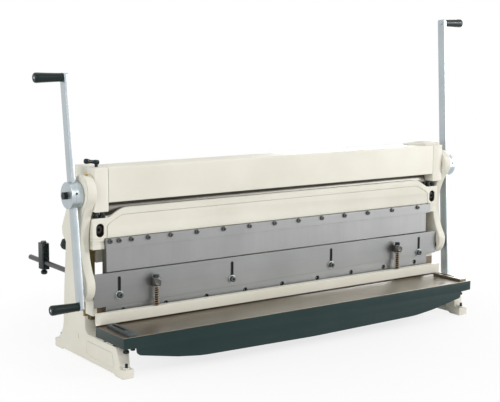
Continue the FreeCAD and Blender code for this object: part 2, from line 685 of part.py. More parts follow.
def hold_bar():
    body = box(-HOLD_HALF, HOLD_HALF, HOLD_FRONT, HOLD_BACK, HOLD_BOT, HOLD_TOP)
    ends = [e for e in body.Edges if e.BoundBox.ZLength > HOLD_TOP - HOLD_BOT - 1
            and e.BoundBox.YMax < HOLD_FRONT + 1]
    body = body.makeChamfer(7.0, ends)
    for side in (-1, 1):
        body = body.cut(rod(HOLD_SCREW_R + FIT / 2, HOLD_SINK + 1 + OVERRUN,
                            V(side * HOLD_X, HOLD_Y, HOLD_TOP - HOLD_SINK - 1), V(0, 0, 1)))
    return body


def lug():
    """Round lug on the moving beam that the hold-down screw slides through."""
    x, w = HOLD_X, LUG_NECK / 2
    body = rod(LUG_R, LUG_TOP - LUG_BOT, V(x, HOLD_Y, LUG_BOT), V(0, 0, 1))
    body = body.fuse(box(x - w, x + w, HOLD_Y, PLATE_FRONT, LUG_BOT, LUG_TOP))
    return body.cut(rod(HOLD_SCREW_R + 1.0, LUG_TOP - LUG_BOT + 2 * OVERRUN,
                        V(x, HOLD_Y, LUG_BOT - OVERRUN), V(0, 0, 1)))


def hold_screw():
    x = HOLD_X
    foot = HOLD_TOP - HOLD_SINK
    stem = rod(HOLD_SCREW_R, LUG_TOP + 1 - foot, V(x, HOLD_Y, foot), V(0, 0, 1))
    head = hexagon(0, 16, 9.5)
    head.rotate(V(0, 0, 0), V(0, 1, 0), -90)
    head.translate(V(x, HOLD_Y, LUG_TOP + 0.5))
    return stem.fuse(head).removeSplitter()


def spring():
    """Coil round the hold-down screw, drawn as rings on one closed tube."""
    z0, z1 = HOLD_TOP + 0.3, LUG_BOT - 0.3
    pitch = (z1 - z0) / COILS
    outline = [(SPRING_R - WIRE, z0)]
    for k in range(COILS):
        outline += [(SPRING_R - WIRE / 2, z0 + k * pitch), (SPRING_R, z0 + (k + 0.5) * pitch)]
    outline += [(SPRING_R - WIRE / 2, z1), (SPRING_R - WIRE, z1)]
    body = turned(outline)
    body.translate(V(HOLD_X, HOLD_Y, 0))
    return body


# table

def table():
    back = SHEAR_Y - SHEAR_GAP - BLADE_SEAT
    inside = TABLE_TOP - 2
    body = box(-TABLE_HALF, TABLE_HALF, TABLE_FRONT, back, TABLE_TOP - TABLE_T, TABLE_TOP)
    # front skirt, deeper in the middle
    low = [(share * TABLE_HALF, z) for share, z in SKIRT]
    edge = [(TABLE_HALF, inside), (TABLE_HALF, TABLE_BOT), (low[0][0] + 3, TABLE_BOT - 3)] + low
    radii = [0, 0, 4, 12, 240, 500]
    skirt = rounded([(-x, z) for x, z in edge] + [(0, 28)] + edge[::-1],
                    radii + [3000] + radii[::-1], "y", TABLE_FRONT, TABLE_FRONT + SKIRT_T)
    body = body.fuse(skirt)
    for side in (-1, 1):
        x0, x1 = sorted((side * (TABLE_HALF - 12), side * TABLE_HALF))
        body = body.fuse(box(x0, x1, TABLE_FRONT, back, TABLE_BOT, inside))
        x0, x1 = sorted((side * (FRAME_IN + 2), side * TABLE_HALF))
        for y0, y1 in TABLE_SEATS:
            body = body.fuse(box(x0, x1, y0, y1, TABLE_BOT, inside))
    # back rail that carries the lower blade
    rail = FRAME_IN - 14.6
    body = body.fuse(box(-rail, rail, back - 16, back, TABLE_TOP - 54, inside))
    for k in range(TABLE_RIBS):
        x = (k - (TABLE_RIBS - 1) / 2) * WORK_W * 0.18
        rib = prism([(TABLE_FRONT + 4, inside), (TABLE_FRONT + 4, 70), (back - 4, 80),
                     (back - 4, inside)], "x", x - RIB_T / 2, x + RIB_T / 2)
        body = body.fuse(rib)
    return body.removeSplitter()


def lower_blade():
    back = SHEAR_Y - SHEAR_GAP
    return box(-BLADE_HALF, BLADE_HALF, back - BLADE_SEAT, back, TABLE_TOP - LOWER_BLADE_H,
               TABLE_TOP)


def side_guide():
    """Squaring bar on the table end, with the slot that its screw passes."""
    x1, y0 = TABLE_HALF - 19, TABLE_FRONT + 4
    x0, y1 = x1 - GUIDE_W, y0 + GUIDE_L
    body = box(x0, x1, y0, y1, TABLE_TOP, TABLE_TOP + GUIDE_T)
    slot = rounded([(x0 + 10, y0 + 45), (x1 - 10, y0 + 45), (x1 - 10, y1 - 8), (x0 + 10, y1 - 8)],
                   [4.9] * 4, "z", TABLE_TOP - 1, TABLE_TOP + GUIDE_T + 1)
    return body.cut(slot)


# rolls and their adjusting gear

def plain_roll(y, z, journal):
    end = FRAME_OUT - 12.6
    body = along_x(ROLL_R, -ROLL_HALF, ROLL_HALF, y, z)
    return body.fuse(along_x(journal, -end, end, y, z)).removeSplitter()


def roll_block():
    """Bearing block of the rear roll, in the slanted window of a frame."""
    body = box(FRAME_IN + 2, FRAME_OUT - 4, -BLOCK_W / 2, BLOCK_W / 2, -BLOCK_L / 2, BLOCK_L / 2)
    body = tilt_to_screw(body, REAR_Y, REAR_Z)
    return body.cut(along_x(REAR_JOURNAL + FIT / 2, FRAME_IN, FRAME_OUT, REAR_Y, REAR_Z))


def knob(side):
    """Adjusting screw with its round knob."""
    reach = (V(0, REAR_Y, REAR_Z) - on_screw(0)).Length - BLOCK_L / 2 - 0.3
    h = KNOB_H / 2
    body = turned([(0, -h), (KNOB_R - 6, -h), (KNOB_R, 1 - h / 2), (KNOB_R, h / 2),
                   (KNOB_R - 7, h), (0, h)])
    body = body.fuse(rod(SCREW_R, reach, V(0, 0, 0), V(0, 0, 1)))
    body = tilt_to_screw(body, KNOB_Y, KNOB_Z)
    body.translate(V(side * FRAME_MID, 0, 0))
    return body


def clamp_lever():
    """Small ball-ended lever that locks the left bearing of the upper roll."""
    x, y, z = LEVER_X, CRANK_Y - 9, HEAD_TOP + 14
    post = rod(5.0, z - HEAD_TOP, V(x, y, HEAD_TOP), V(0, 0, 1))
    arm = turned([(0, -11), (3.0, -11), (3.0, -8), (7.0, -8), (7.0, 7), (5.0, 9), (5.0, 20),
                  (8.0, 28), (8.0, 36), (5.0, 40), (0, 40)])
    arm.rotate(V(0, 0, 0), V(0, 1, 0), -82)
    arm.translate(V(x, y, z))
    return post.fuse(arm).removeSplitter()


# back gauge

def gauge_rod():
    return rod(ROD_R, ROD_END - RAM_BACK + ROD_SINK, V(ROD_X, RAM_BACK - ROD_SINK, ROD_Z),
               V(0, 1, 0))


def gauge_block(side):
    x, w, d = side * ROD_X, GAUGE_W / 2, GAUGE_L / 2
    body = box(x - w, x + w, GAUGE_Y - d, GAUGE_Y + d, GAUGE_BOT, GAUGE_TOP)
    upright = [e for e in body.Edges if e.BoundBox.ZLength > GAUGE_TOP - GAUGE_BOT - 1]
    body = body.makeChamfer(3.0, upright)
    return body.cut(rod(ROD_R + FIT, GAUGE_L + 2 * OVERRUN, V(x, GAUGE_Y - d - OVERRUN, ROD_Z),
                        V(0, 1, 0)))


def gauge_screw(side):
    """Thumb screw under a gauge block."""
    body = turned([(0, -THUMB_H), (THUMB_R, -THUMB_H), (THUMB_R, -THUMB_H * 0.35),
                   (THUMB_R * 0.55, -THUMB_H * 0.35), (THUMB_R * 0.55, 0), (0, 0)])
    body.translate(V(side * ROD_X, GAUGE_Y, GAUGE_BOT))
    return body


def sides(make):
    return Part.makeCompound([make(-1), make(1)])


right_frame = end_frame()
nodes = {
    "left_end_frame": mirrored(right_frame),
    "right_end_frame": right_frame,
    "right_roll_cap": roll_cap(),
    "top_beam": top_beam(),
    "finger_beam": finger_beam(),
    "beam_seats": both(beam_seat),
    "beam_adjusters": both(adjuster),
    "finger_clamp": clamp_strip(),
    "brake_fingers": fingers(),
    "ram_guides": both(guide),
    "table": table(),
    "lower_blade": lower_blade(),
    "side_guides": both(side_guide),
    "crank_shaft": crank_shaft(),
    "crank_hubs": sides(hub),
    "handle_bars": sides(handle_bar),
    "handle_grips": Part.makeCompound(
        [grip(s, d) for s in (-1, 1)
         for d in (BAR_SPECS[s][1] - BAR_END, -BAR_SPECS[s][2] + BAR_END)]),
    "hub_bolts": sides(hub_bolt),
    "ram_beam": ram(),
    "vee_die": vee_die(),
    "front_plate": front_plate(),
    "upper_blade": upper_blade(),
    "ram_links": both(link),
    "link_pins": both(link_pin),
    "hold_down_lugs": both(lug),
    "gauge_rods": both(gauge_rod),
    "hold_down_bar": hold_bar(),
    "hold_down_screws": both(hold_screw),
    "hold_down_springs": both(spring),
    "lower_roll": plain_roll(LOW_Y, LOW_Z, LOW_JOURNAL),
    "rear_roll": plain_roll(REAR_Y, REAR_Z, REAR_JOURNAL),
    "rear_roll_blocks": both(roll_block),
    "left_roll_knob": knob(-1),
    "right_roll_knob": knob(1),
    "roll_clamp_lever": clamp_lever(),
    "left_gauge_block": gauge_block(-1),
    "right_gauge_block": gauge_block(1),
    "left_gauge_screw": gauge_screw(-1),
    "right_gauge_screw": gauge_screw(1),
}

os.makedirs("parts", exist_ok=True)
for name, shape in nodes.items():
    shape.exportStep("parts/%s.step" % name)
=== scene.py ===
# %% [markdown]
# # A combination shear, brake and slip roll
# The machine stands on two cast end frames. A cover and a pair of rolls lie on top, a beam
# with brake fingers hangs below them, and a moving beam carries a ground face plate and the
# upper shear blade behind a table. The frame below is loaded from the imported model, so every
# length here is in metres and every piece starts where the solids already are.

# %% Load the frame
import json
import math

import bmesh
import bpy
import numpy as np
from mathutils import Matrix, Vector


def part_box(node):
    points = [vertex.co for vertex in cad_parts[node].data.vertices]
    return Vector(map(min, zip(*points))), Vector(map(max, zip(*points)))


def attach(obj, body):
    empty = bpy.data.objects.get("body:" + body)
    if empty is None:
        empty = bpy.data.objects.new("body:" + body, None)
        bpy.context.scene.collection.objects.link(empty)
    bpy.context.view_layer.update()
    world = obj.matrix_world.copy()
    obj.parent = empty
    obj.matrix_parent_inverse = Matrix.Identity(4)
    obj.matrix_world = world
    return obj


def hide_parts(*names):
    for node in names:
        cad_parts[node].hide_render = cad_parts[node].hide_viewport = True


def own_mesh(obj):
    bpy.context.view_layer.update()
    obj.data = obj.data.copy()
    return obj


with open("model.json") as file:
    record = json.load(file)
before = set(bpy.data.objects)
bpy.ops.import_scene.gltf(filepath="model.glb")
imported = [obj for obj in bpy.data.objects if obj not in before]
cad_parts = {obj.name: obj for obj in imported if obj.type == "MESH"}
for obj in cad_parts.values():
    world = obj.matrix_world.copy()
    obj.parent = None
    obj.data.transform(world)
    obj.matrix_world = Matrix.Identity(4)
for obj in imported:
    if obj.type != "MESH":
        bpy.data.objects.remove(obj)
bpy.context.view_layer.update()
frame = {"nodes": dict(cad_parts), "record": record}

# %% [markdown]
# ## Helpers for surfaces
# Nearly every turned or drawn piece is a row of rings: one parameter runs round the piece
# and the other along its profile. Working the rings out as whole arrays keeps each shape down
# to a formula, and one function then turns any such grid into a mesh.

# %% Grids of points
TURN = 2.0 * math.pi
MM = 0.001


def grid(rings):
    """Quads over an array of rings with shape (rings, points in a ring, 3).

    Each point is joined to the next one round its ring, where the last comes before the
    first, and to the same two points of the next ring."""
    count, size = rings.shape[:2]
    i, j = np.meshgrid(np.arange(count - 1), np.arange(size), indexing="ij")
    a, b = i * size + j, i * size + (j + 1) % size
    return rings.reshape(-1, 3), np.stack([a, b, b + size, a + size], -1).reshape(-1, 4)


def join_grids(grids):
    """Stack (points, faces) pairs into one pair, with each grid's face numbers shifted."""
    starts = np.cumsum([0] + [len(points) for points, _ in grids[:-1]])
    return (np.vstack([points for points, _ in grids]),
            np.vstack([faces + start for (_, faces), start in zip(grids, starts)]))


def axes_for(direction):
    """Three unit vectors: two across the direction, and the direction itself."""
    w = np.array(direction, float)
    w /= np.linalg.norm(w)
    u = np.cross([0.0, 0.0, 1.0] if abs(w[2]) < 0.9 else [1.0, 0.0, 0.0], w)
    u /= np.linalg.norm(u)
    return u, np.cross(w, u), w


def lathe(profile, origin, direction, sides=48, shape=None):
    """Turned piece: each (radius, height) of the profile makes a ring round the axis.

    A point is origin + radius * (cos t * u + sin t * v) + height * w. shape(t, k) may
    scale the radius of ring k at angle t, for flats, flutes and hexagons."""
    profile = np.array(profile, float)
    u, v, w = axes_for(direction)
    t = np.linspace(0, TURN, sides, endpoint=False)
    radius = np.repeat(profile[:, :1], sides, 1)
    if shape:
        radius = radius * np.array([shape(t, k) for k in range(len(profile))])
    ring = np.cos(t)[:, None] * u + np.sin(t)[:, None] * v
    return grid(np.array(origin) + radius[..., None] * ring + profile[:, 1, None, None] * w)


def rounded_profile(corners, radius, steps=3):
    """Replace each inner corner of an open (radius, height) profile by a small arc.

    The arc leaves one side at start and meets the other at end. Its point at s is
    (1 - s)^2 * start + 2 * s * (1 - s) * corner + s^2 * end."""
    corners = np.array(corners, float)
    out = [corners[0]]
    for before, here, after in zip(corners, corners[1:], corners[2:]):
        a, b = before - here, after - here
        la, lb = np.linalg.norm(a), np.linalg.norm(b)
        r = min(radius, la / 2, lb / 2)
        s = np.linspace(0, 1, steps + 1)[:, None]
        start, end = here + a / la * r, here + b / lb * r
        out.extend((1 - s) ** 2 * start + 2 * s * (1 - s) * here + s ** 2 * end)
    out.append(corners[-1])
    return np.array(out)


# %% [markdown]
# A mesh from grids may have open poles and double points where grids meet. Merging the points
# that coincide closes it, and recalculating the normals makes every face look outwards.

# %% Meshes to pieces
SAME_POINT = 1e-6
WIDEST_HOLE = 200


def piece(name, grids, body, material, smooth=35.0, replaces=()):
    """Make a mesh object from grids, let it ride on a body, and give it a finish.

    Edges that turn by less than smooth degrees are shaded round, and the nodes in replaces
    are hidden, because this piece stands for them."""
    points, faces = join_grids(grids)
    mesh = bpy.data.meshes.new(name)
    mesh.from_pydata(points, [], faces.tolist())
    bm = bmesh.new()
    bm.from_mesh(mesh)
    bmesh.ops.remove_doubles(bm, verts=bm.verts, dist=SAME_POINT)
    bmesh.ops.holes_fill(bm, edges=[e for e in bm.edges if e.is_boundary], sides=WIDEST_HOLE)
    bmesh.ops.recalc_face_normals(bm, faces=bm.faces)
    bm.to_mesh(mesh)
    bm.free()
    mesh.shade_smooth()
    mesh.set_sharp_from_angle(angle=math.radians(smooth))
    obj = bpy.data.objects.new(name, mesh)
    bpy.context.scene.collection.objects.link(obj)
    mesh.materials.append(material)
    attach(obj, body)
    if replaces:
        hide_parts(*replaces)
    return obj


# %% [markdown]
# ## Shader maths
# A procedural finish is arithmetic on patterns. The class below wraps one output of a node
# and overloads the operators, so that a mask can be written as an ordinary expression.

# %% One small class for shader expressions
class Node:
    """A socket of the material being made, with +, -, * and > as Math nodes."""

    tree = None

    def __init__(self, socket):
        self.socket = socket

    @classmethod
    def make(cls, kind, output=0, settings=None, **inputs):
        """Add any node: its settings are set first, then the values or links of its sockets.

        An input is named by its label with _ for each space, or by i and its number."""
        node = cls.tree.nodes.new(kind)
        for key, value in (settings or {}).items():
            if key == "ramp":
                elements = node.color_ramp.elements
                while len(elements) < len(value):
                    elements.new(0.5)
                for element, (at, level) in zip(elements, value):
                    element.position = at
                    element.color = (level, level, level, 1.0)
            else:
                setattr(node, key, value)
        for key, value in inputs.items():
            socket = node.inputs[int(key[1:]) if key[1:].isdigit() else key.replace("_", " ")]
            if isinstance(value, Node):
                cls.tree.links.new(value.socket, socket)
            else:
                socket.default_value = value
        return cls(node.outputs[output])

    def math(self, operation, other, swap=False):
        """A Math node on this value and the other, or on the other and this one if swapped."""
        a, b = (other, self) if swap else (self, other)
        return Node.make("ShaderNodeMath", settings={"operation": operation}, i0=a, i1=b)

    def __add__(self, other):
        return self.math("ADD", other)

    def __sub__(self, other):
        return self.math("SUBTRACT", other)

    def __rsub__(self, other):
        return self.math("SUBTRACT", other, swap=True)

    def __mul__(self, other):
        return self.math("MULTIPLY", other)

    def __gt__(self, other):
        return self.math("GREATER_THAN", other)

    __radd__ = __add__
    __rmul__ = __mul__


# %% [markdown]
# Colours can't go through Math nodes, which turn them grey, so blending two colours has a
# function of its own. The patterns are noises on Object coordinates: they stay on the piece
# when it moves and need no unwrapping.

# %% Patterns, colours and the shader
def noise(scale, detail=3.0, stretch=(1.0, 1.0, 1.0), roughness=0.5):
    """Noise on Object coordinates, stretched by scaling the axes first."""
    where = Node.make("ShaderNodeTexCoord", output="Object")
    where = Node.make("ShaderNodeMapping", Vector=where, Scale=stretch)
    return Node.make("ShaderNodeTexNoise", Vector=where, Scale=scale, Detail=detail,
                     Roughness=roughness)


def place():
    """X, Y and Z of the point that is shaded, in metres."""
    where = Node.make("ShaderNodeTexCoord", output="Object")
    return [Node.make("ShaderNodeSeparateXYZ", output=axis, Vector=where) for axis in "XYZ"]


def between(value, low, high):
    """1 where the value is above low and not above high, 0 elsewhere."""
    return (value > low) * (1 - (value > high))


def ramp(value, *stops):
    """Grey ramp through (position, level) stops."""
    return Node.make("ShaderNodeValToRGB", settings={"ramp": stops}, Fac=value)


def blend_colours(mask, a, b):
    """Colour a where the mask is 0 and colour b where it is 1."""
    node = Node.tree.nodes.new("ShaderNodeMix")
    node.data_type = "RGBA"
    for socket, value in zip((node.inputs[0], node.inputs[6], node.inputs[7]), (mask, a, b)):
        if isinstance(value, Node):
            Node.tree.links.new(value.socket, socket)
        else:
            socket.default_value = value
    return Node(node.outputs[2])


def bump(height, strength, distance=0.001):
    """Normal tilted by the slope of the height, which is distance metres at level 1."""
    return Node.make("ShaderNodeBump", Height=height, Strength=strength, Distance=distance)


def srgb(*rgb):
    """Linear colour from 0..255 screen values: c / 12.92 near black, and above that
    ((c + 0.055) / 1.055) to the power of 2.4."""
    c = np.array(rgb) / 255.0
    linear = np.where(c <= 0.04045, c / 12.92, ((c + 0.055) / 1.055) ** 2.4)
    return (*linear.tolist(), 1.0)


def finish(name, recipe, metallic=0.0, **constants):
    """New material: recipe() returns the sockets that vary, constants are set on the shader."""
    material = bpy.data.materials.new(name)
    material.use_nodes = True
    Node.tree = material.node_tree
    shader = material.node_tree.nodes["Principled BSDF"]
    shader.inputs["Metallic"].default_value = metallic
    for key, value in constants.items():
        shader.inputs[key.replace("_", " ")].default_value = value
    for key, value in recipe().items():
        material.node_tree.links.new(value.socket, shader.inputs[key])
    return material


# %% [markdown]
# ## Finishes
# The castings are sprayed with cream enamel, with the slight orange peel of the spray and the
# swell of the casting under it. One flat colour would look like a drawing, so the colour
# drifts by a few percent, and the gloss and the bump follow finer noise. The coat is thin,
# because the real highlights are soft and wide.

# %% Cream enamel
CREAM = (229, 226, 212), (239, 236, 224)
SOFT_GLOSS = {"Coat_Weight": 0.03, "Coat_Roughness": 0.2, "Specular_IOR_Level": 0.11}


def enamel(deep, light, rough):
    """Sprayed paint: colour drifts between two tones, gloss and bump follow finer noise."""
    def recipe():
        drift = ramp(noise(5.0, 4.0), (0.35, 0.0), (0.65, 1.0))
        speck = ramp(noise(260.0, 2.0), (0.70, 0.0), (0.78, 1.0))
        peel = noise(420.0, 2.0)
        swell = noise(38.0, 3.0)
        return {
            "Base Color": blend_colours(drift * 0.8 + speck * 0.2, srgb(*deep), srgb(*light)),
            "Roughness": noise(30.0, 3.0) * 0.14 + rough,
            "Normal": bump(peel * 0.25 + swell, 0.22, 0.0009),
        }
    return recipe


cream = finish("cream_enamel", enamel(*CREAM, 0.36), **SOFT_GLOSS)
print("enamel:", cream.name)

# %% [markdown]
# Ground steel shows the path of the wheel: fine scratches all in one direction. Stretching a
# noise almost a hundred times along that direction draws them, and they change both the
# brightness and the gloss. Turned rolls are the same idea with the lines running round.

# %% Bare and plated metal
LENGTHWISE, FORE_AND_AFT, UPRIGHT = (0.012, 1.0, 1.0), (1.0, 0.012, 1.0), (1.0, 1.0, 0.012)
ROUND_X, COARSE_CUT, NO_GRAIN = (1.0, 0.01, 0.01), (1.0, 0.02, 1.0), (1.0, 1.0, 1.0)


def scratches(along):
    """Fine noise drawn out into lines; along scales the axes so that the lines are long."""
    return noise(900.0, 3.0, stretch=along, roughness=0.7)


def drawn(deep, light, rough, spread, along, patch=6.0):
    """Metal with lines in one direction, broader streaks under them and cloudy patches.

    The colour follows 0.35 of the lines, 0.25 of the streaks and 0.4 of the patches."""
    def recipe():
        lines = scratches(along)
        broad = noise(90.0, 2.0, stretch=along)
        cloud = ramp(noise(patch, 5.0), (0.3, 0.0), (0.7, 1.0))
        mix = lines * 0.35 + broad * 0.25 + cloud * 0.4
        return {
            "Base Color": blend_colours(mix, srgb(*deep), srgb(*light)),
            "Roughness": lines * spread + cloud * 0.06 + rough,
            "Normal": bump(lines, 0.10, 0.0004),
        }
    return recipe


plate_steel = finish("ground_plate", drawn((124, 126, 126), (146, 147, 146), 0.34, 0.12,
                                           LENGTHWISE), metallic=0.85)
finger_steel = finish("finger_steel", drawn((129, 130, 130), (149, 150, 149), 0.34, 0.12,
                                            UPRIGHT), metallic=0.85)
# The roll steel is darker and browner than bright steel: painted shade on the rolls under the
# cover.
shaded_roll_steel = finish("turned_roll", drawn((122, 119, 112), (152, 150, 144), 0.24, 0.14,
                                         ROUND_X), metallic=1.0)
zinc = finish("zinc_plate", drawn((168, 178, 182), (196, 204, 208), 0.26, 0.12,
                                  UPRIGHT, 14.0), metallic=0.85)
rod_steel = finish("drawn_rod", drawn((70, 70, 72), (104, 104, 104), 0.30, 0.14,
                                      FORE_AND_AFT), metallic=0.9)
spring_steel = finish("spring_steel", drawn((124, 110, 92), (166, 150, 128), 0.25, 0.12,
                                            LENGTHWISE, 20.0), metallic=0.9)
lug_steel = finish("lug_steel", drawn((62, 61, 59), (104, 102, 99), 0.22, 0.14,
                                      LENGTHWISE, 14.0), metallic=0.85)
# The dark grey of the left squaring bar is painted shade.
left_guide_shade = finish("left_guide_shade_grey", drawn((58, 66, 68), (84, 92, 93), 0.34, 0.16,
                                        COARSE_CUT), metallic=0.6)
# A lighter copy of the blackened steel: its grey is painted reflection in the screw sockets.
sheen_screw_steel = finish("sheen_screw_steel", drawn((46, 50, 50), (112, 114, 112), 0.22, 0.14,
                                          NO_GRAIN, 60.0), metallic=0.85)
# The brown of the ram guides is painted shade, for the shadow between the beam and the frames.
ram_guide_shade = finish("ram_guide_shade_brown", drawn((84, 74, 48), (112, 100, 70), 0.4, 0.1, UPRIGHT),
                     metallic=0.3)
print("metals:", len(bpy.data.materials) - 1)

# %% [markdown]
# The table is one casting with three skins: dark slate enamel on the front skirt, the same
# enamel painted lighter and greyer on its ends as painted light, and a planed top whose cut
# also leaves a bright line along the edge. Near the blade the planed steel is brown, partly
# with oil and partly as painted shade under the hold-down bar. The place of a point decides
# which of them shows, so one material holds them all.

# %% Painted casting with a planed top
PLANED = (104, 96, 83), (140, 132, 118)
# Behind this line the planed top is brown: oil, and painted shade under the hold-down bar.
OIL_AND_SHADE_FROM = -83 * MM


def planed(level, reach):
    """Bare steel above the level, end paint beyond the reach, skirt paint everywhere else."""
    def recipe():
        x, y, z = place()
        bare, end, oil_and_shade = z > level, x * x > reach ** 2, y > OIL_AND_SHADE_FROM
        lines = scratches(LENGTHWISE)
        stain = ramp(noise(7.0, 5.0), (0.3, 0.0), (0.7, 1.0))
        drift, peel = noise(6.0, 4.0), noise(420.0, 2.0)
        # The end paint is the skirt paint made lighter and greyer: painted light on the ends.
        paint = blend_colours(end, blend_colours(drift, srgb(29, 48, 48), srgb(41, 60, 60)),
                              blend_colours(drift, srgb(42, 56, 54), srgb(58, 71, 68)))
        steel = blend_colours(lines * 0.5 + stain * 0.5, *[srgb(*tone) for tone in PLANED])
        # The brown strip is oil on the steel and painted shade under the hold-down bar.
        steel = blend_colours(oil_and_shade, steel, srgb(86, 72, 54))
        return {
            "Base Color": blend_colours(bare, paint, steel),
            "Metallic": bare * (0.75 - oil_and_shade * 0.6),
            "Roughness": (bare * (lines * 0.14 + stain * 0.06 + 0.26 + oil_and_shade * 0.4)
                          + (1 - bare) * 0.38),
            "Coat Weight": (1 - bare) * 0.02,
            "Normal": bump(bare * lines * 0.4 + (1 - bare) * (peel * 0.25 + noise(38.0)), 0.2),
        }
    return recipe


def planed_steel():
    """The same planed steel as on the table, for the bar that lies on it."""
    lines = scratches(LENGTHWISE)
    return {"Base Color": blend_colours(lines, *[srgb(*tone) for tone in PLANED]),
            "Roughness": lines * 0.14 + 0.28}


table_steel = finish("planed_steel", planed_steel, metallic=0.75)
table_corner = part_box("table")[1]
cut_level = table_corner[2] - 1.5 * MM
table_skins = finish("planed_casting", planed(cut_level, table_corner[0] - 1 * MM),
                     Coat_Roughness=0.18, Specular_IOR_Level=0.16)
print("bare above", round(cut_level, 4))

# %% [markdown]
# The screws are blackened steel, the grips and knobs black moulded plastic. Both look plain,
# but a little worn grey on the steel and a fine moulded grain on the plastic keep them from
# turning into flat silhouettes.

# %% Black steel, moulded black and brass
def blackened():
    """Blackened steel: grey shows through in patches, which are also a little rougher."""
    wear = ramp(noise(160.0, 4.0), (0.52, 0.0), (0.75, 1.0))
    return {
        "Base Color": blend_colours(wear, srgb(30, 38, 39), srgb(78, 82, 80)),
        "Roughness": wear * 0.15 + 0.32,
        "Normal": bump(noise(700.0, 2.0), 0.12, 0.0003),
    }


def moulded():
    """Glossy plastic: a fine grain drives the gloss and the bump."""
    grain = noise(1300.0, 2.0)
    return {
        "Base Color": blend_colours(noise(40.0), srgb(8, 26, 25), srgb(15, 34, 33)),
        "Roughness": grain * 0.08 + 0.2,
        "Normal": bump(grain, 0.06, 0.0002),
    }


def lacquered():
    """Turned brass between two tones of yellow."""
    return {
        "Base Color": blend_colours(noise(300.0), srgb(184, 142, 66), srgb(214, 176, 96)),
        "Roughness": noise(200.0) * 0.15 + 0.22,
    }


def oil_and_shade_black():
    """Nearly black oil on steel, dull where the oil is thick, and painted shade in the plate
    slots.
    """
    return {
        "Base Color": blend_colours(noise(60.0), srgb(16, 16, 15), srgb(30, 28, 25)),
        "Roughness": noise(120.0) * 0.2 + 0.45,
    }


black_steel = finish("blackened_steel", blackened, metallic=0.75)
# This near-black finish is oil on steel, and painted shade in the slots and inside the springs.
oil_and_shade_steel = finish("oil_and_shade_steel", oil_and_shade_black, metallic=0.2)
black_grip = finish("moulded_grip", moulded, Coat_Weight=0.08, Coat_Roughness=0.15,
                    Specular_IOR_Level=0.24)
brass = finish("brass", lacquered, metallic=1.0)

# %% [markdown]
# Three kinds of casting are cream with darker patches. The pockets of the finger beam and the
# inner faces of the end frames are darkened as painted shade. The front of the moving beam is
# brown, for its bare oily face and as painted shade under the plate. A second material on
# chosen faces would end at their edges, but the patches don't, so here too the place of a
# point decides. Each mask is a product of comparisons.

# %% Castings with painted shade in places
def cream_with_patches(mask, bare, rough):
    """Cream enamel with bare()'s colour where mask(x, y, z) is 1: painted shade, bare oily steel.
    """
    def recipe():
        inside = mask(*place())
        paint = enamel(*CREAM, rough)()
        paint["Base Color"] = blend_colours(inside, paint["Base Color"], bare())
        return paint
    return recipe


beam_low, beam_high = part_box("finger_beam")
POCKET_HALF, POCKET_Z = 13.5 * MM, (389 * MM, 434 * MM)
pocket_mid = beam_high[0] - 24 * MM
pocket_reach = pocket_mid - POCKET_HALF, pocket_mid + POCKET_HALF
# The dark brown in the pockets of the finger beam is painted shade.
beam_cream = finish(
    "cream_beam",
    cream_with_patches(lambda x, y, z: ((y > beam_low[1] + 2.5 * MM) * between(z, *POCKET_Z)
                                 * between(x * x, pocket_reach[0] ** 2, pocket_reach[1] ** 2)),
                lambda: srgb(64, 48, 34), 0.28),
    Coat_Weight=0.05, Coat_Roughness=0.2, Specular_IOR_Level=0.16)

FRAME_SHADE_Y, FRAME_SHADE_Z = (-60 * MM, 22 * MM), (140 * MM, 354 * MM)
inner_reach = beam_high[0] + 0.6 * MM
# The olive brown on the inner faces of the end frames is painted shade.
frame_cream = finish(
    "cream_frame",
    cream_with_patches(lambda x, y, z: ((1 - (x * x > inner_reach ** 2))
                                 * between(y, *FRAME_SHADE_Y) * between(z, *FRAME_SHADE_Z)),
                lambda: blend_colours(noise(30.0, 4.0), srgb(120, 106, 70), srgb(150, 132, 92)),
                0.36),
    **SOFT_GLOSS)

RAM_BARE_AND_SHADE_TOP, RAM_BARE_AND_SHADE_REACH, RAM_BARE_AND_SHADE_BACK = 186 * MM, 688 * MM, -20 * MM
ram_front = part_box("ram_beam")[0][1] + 2 * MM
# The brown on the front of the moving beam is its bare oily face and painted shade under the
# plate.
ram_cream = finish(
    "cream_ram",
    cream_with_patches(lambda x, y, z: ((1 - (y > ram_front) * (z > RAM_BARE_AND_SHADE_TOP))
                                 * (x > -RAM_BARE_AND_SHADE_REACH) * (1 - (y > RAM_BARE_AND_SHADE_BACK))),
                lambda: blend_colours(noise(40.0, 4.0), srgb(96, 82, 64), srgb(124, 108, 88)),
                0.28))
print("finishes:", len(bpy.data.materials))

# %% [markdown]
# ## Castings and plates
# The solids already have the right outlines, but their edges are as sharp as drawn. A copy of
# each is merged, its flat faces are joined again, and a Bevel modifier rounds every edge by
# what the real piece would have: about 2 mm on a casting, a few tenths on a ground plate.

# %% Rounded copies of the solids
MERGED = 2e-6
SHARP, LEVEL = 28.0, 0.8
PANEL_X, PANEL_Y, PANEL_Z = 0.701, (-0.176, 0.007), (0.019, 0.069)
PANEL_SHARE = 0.55


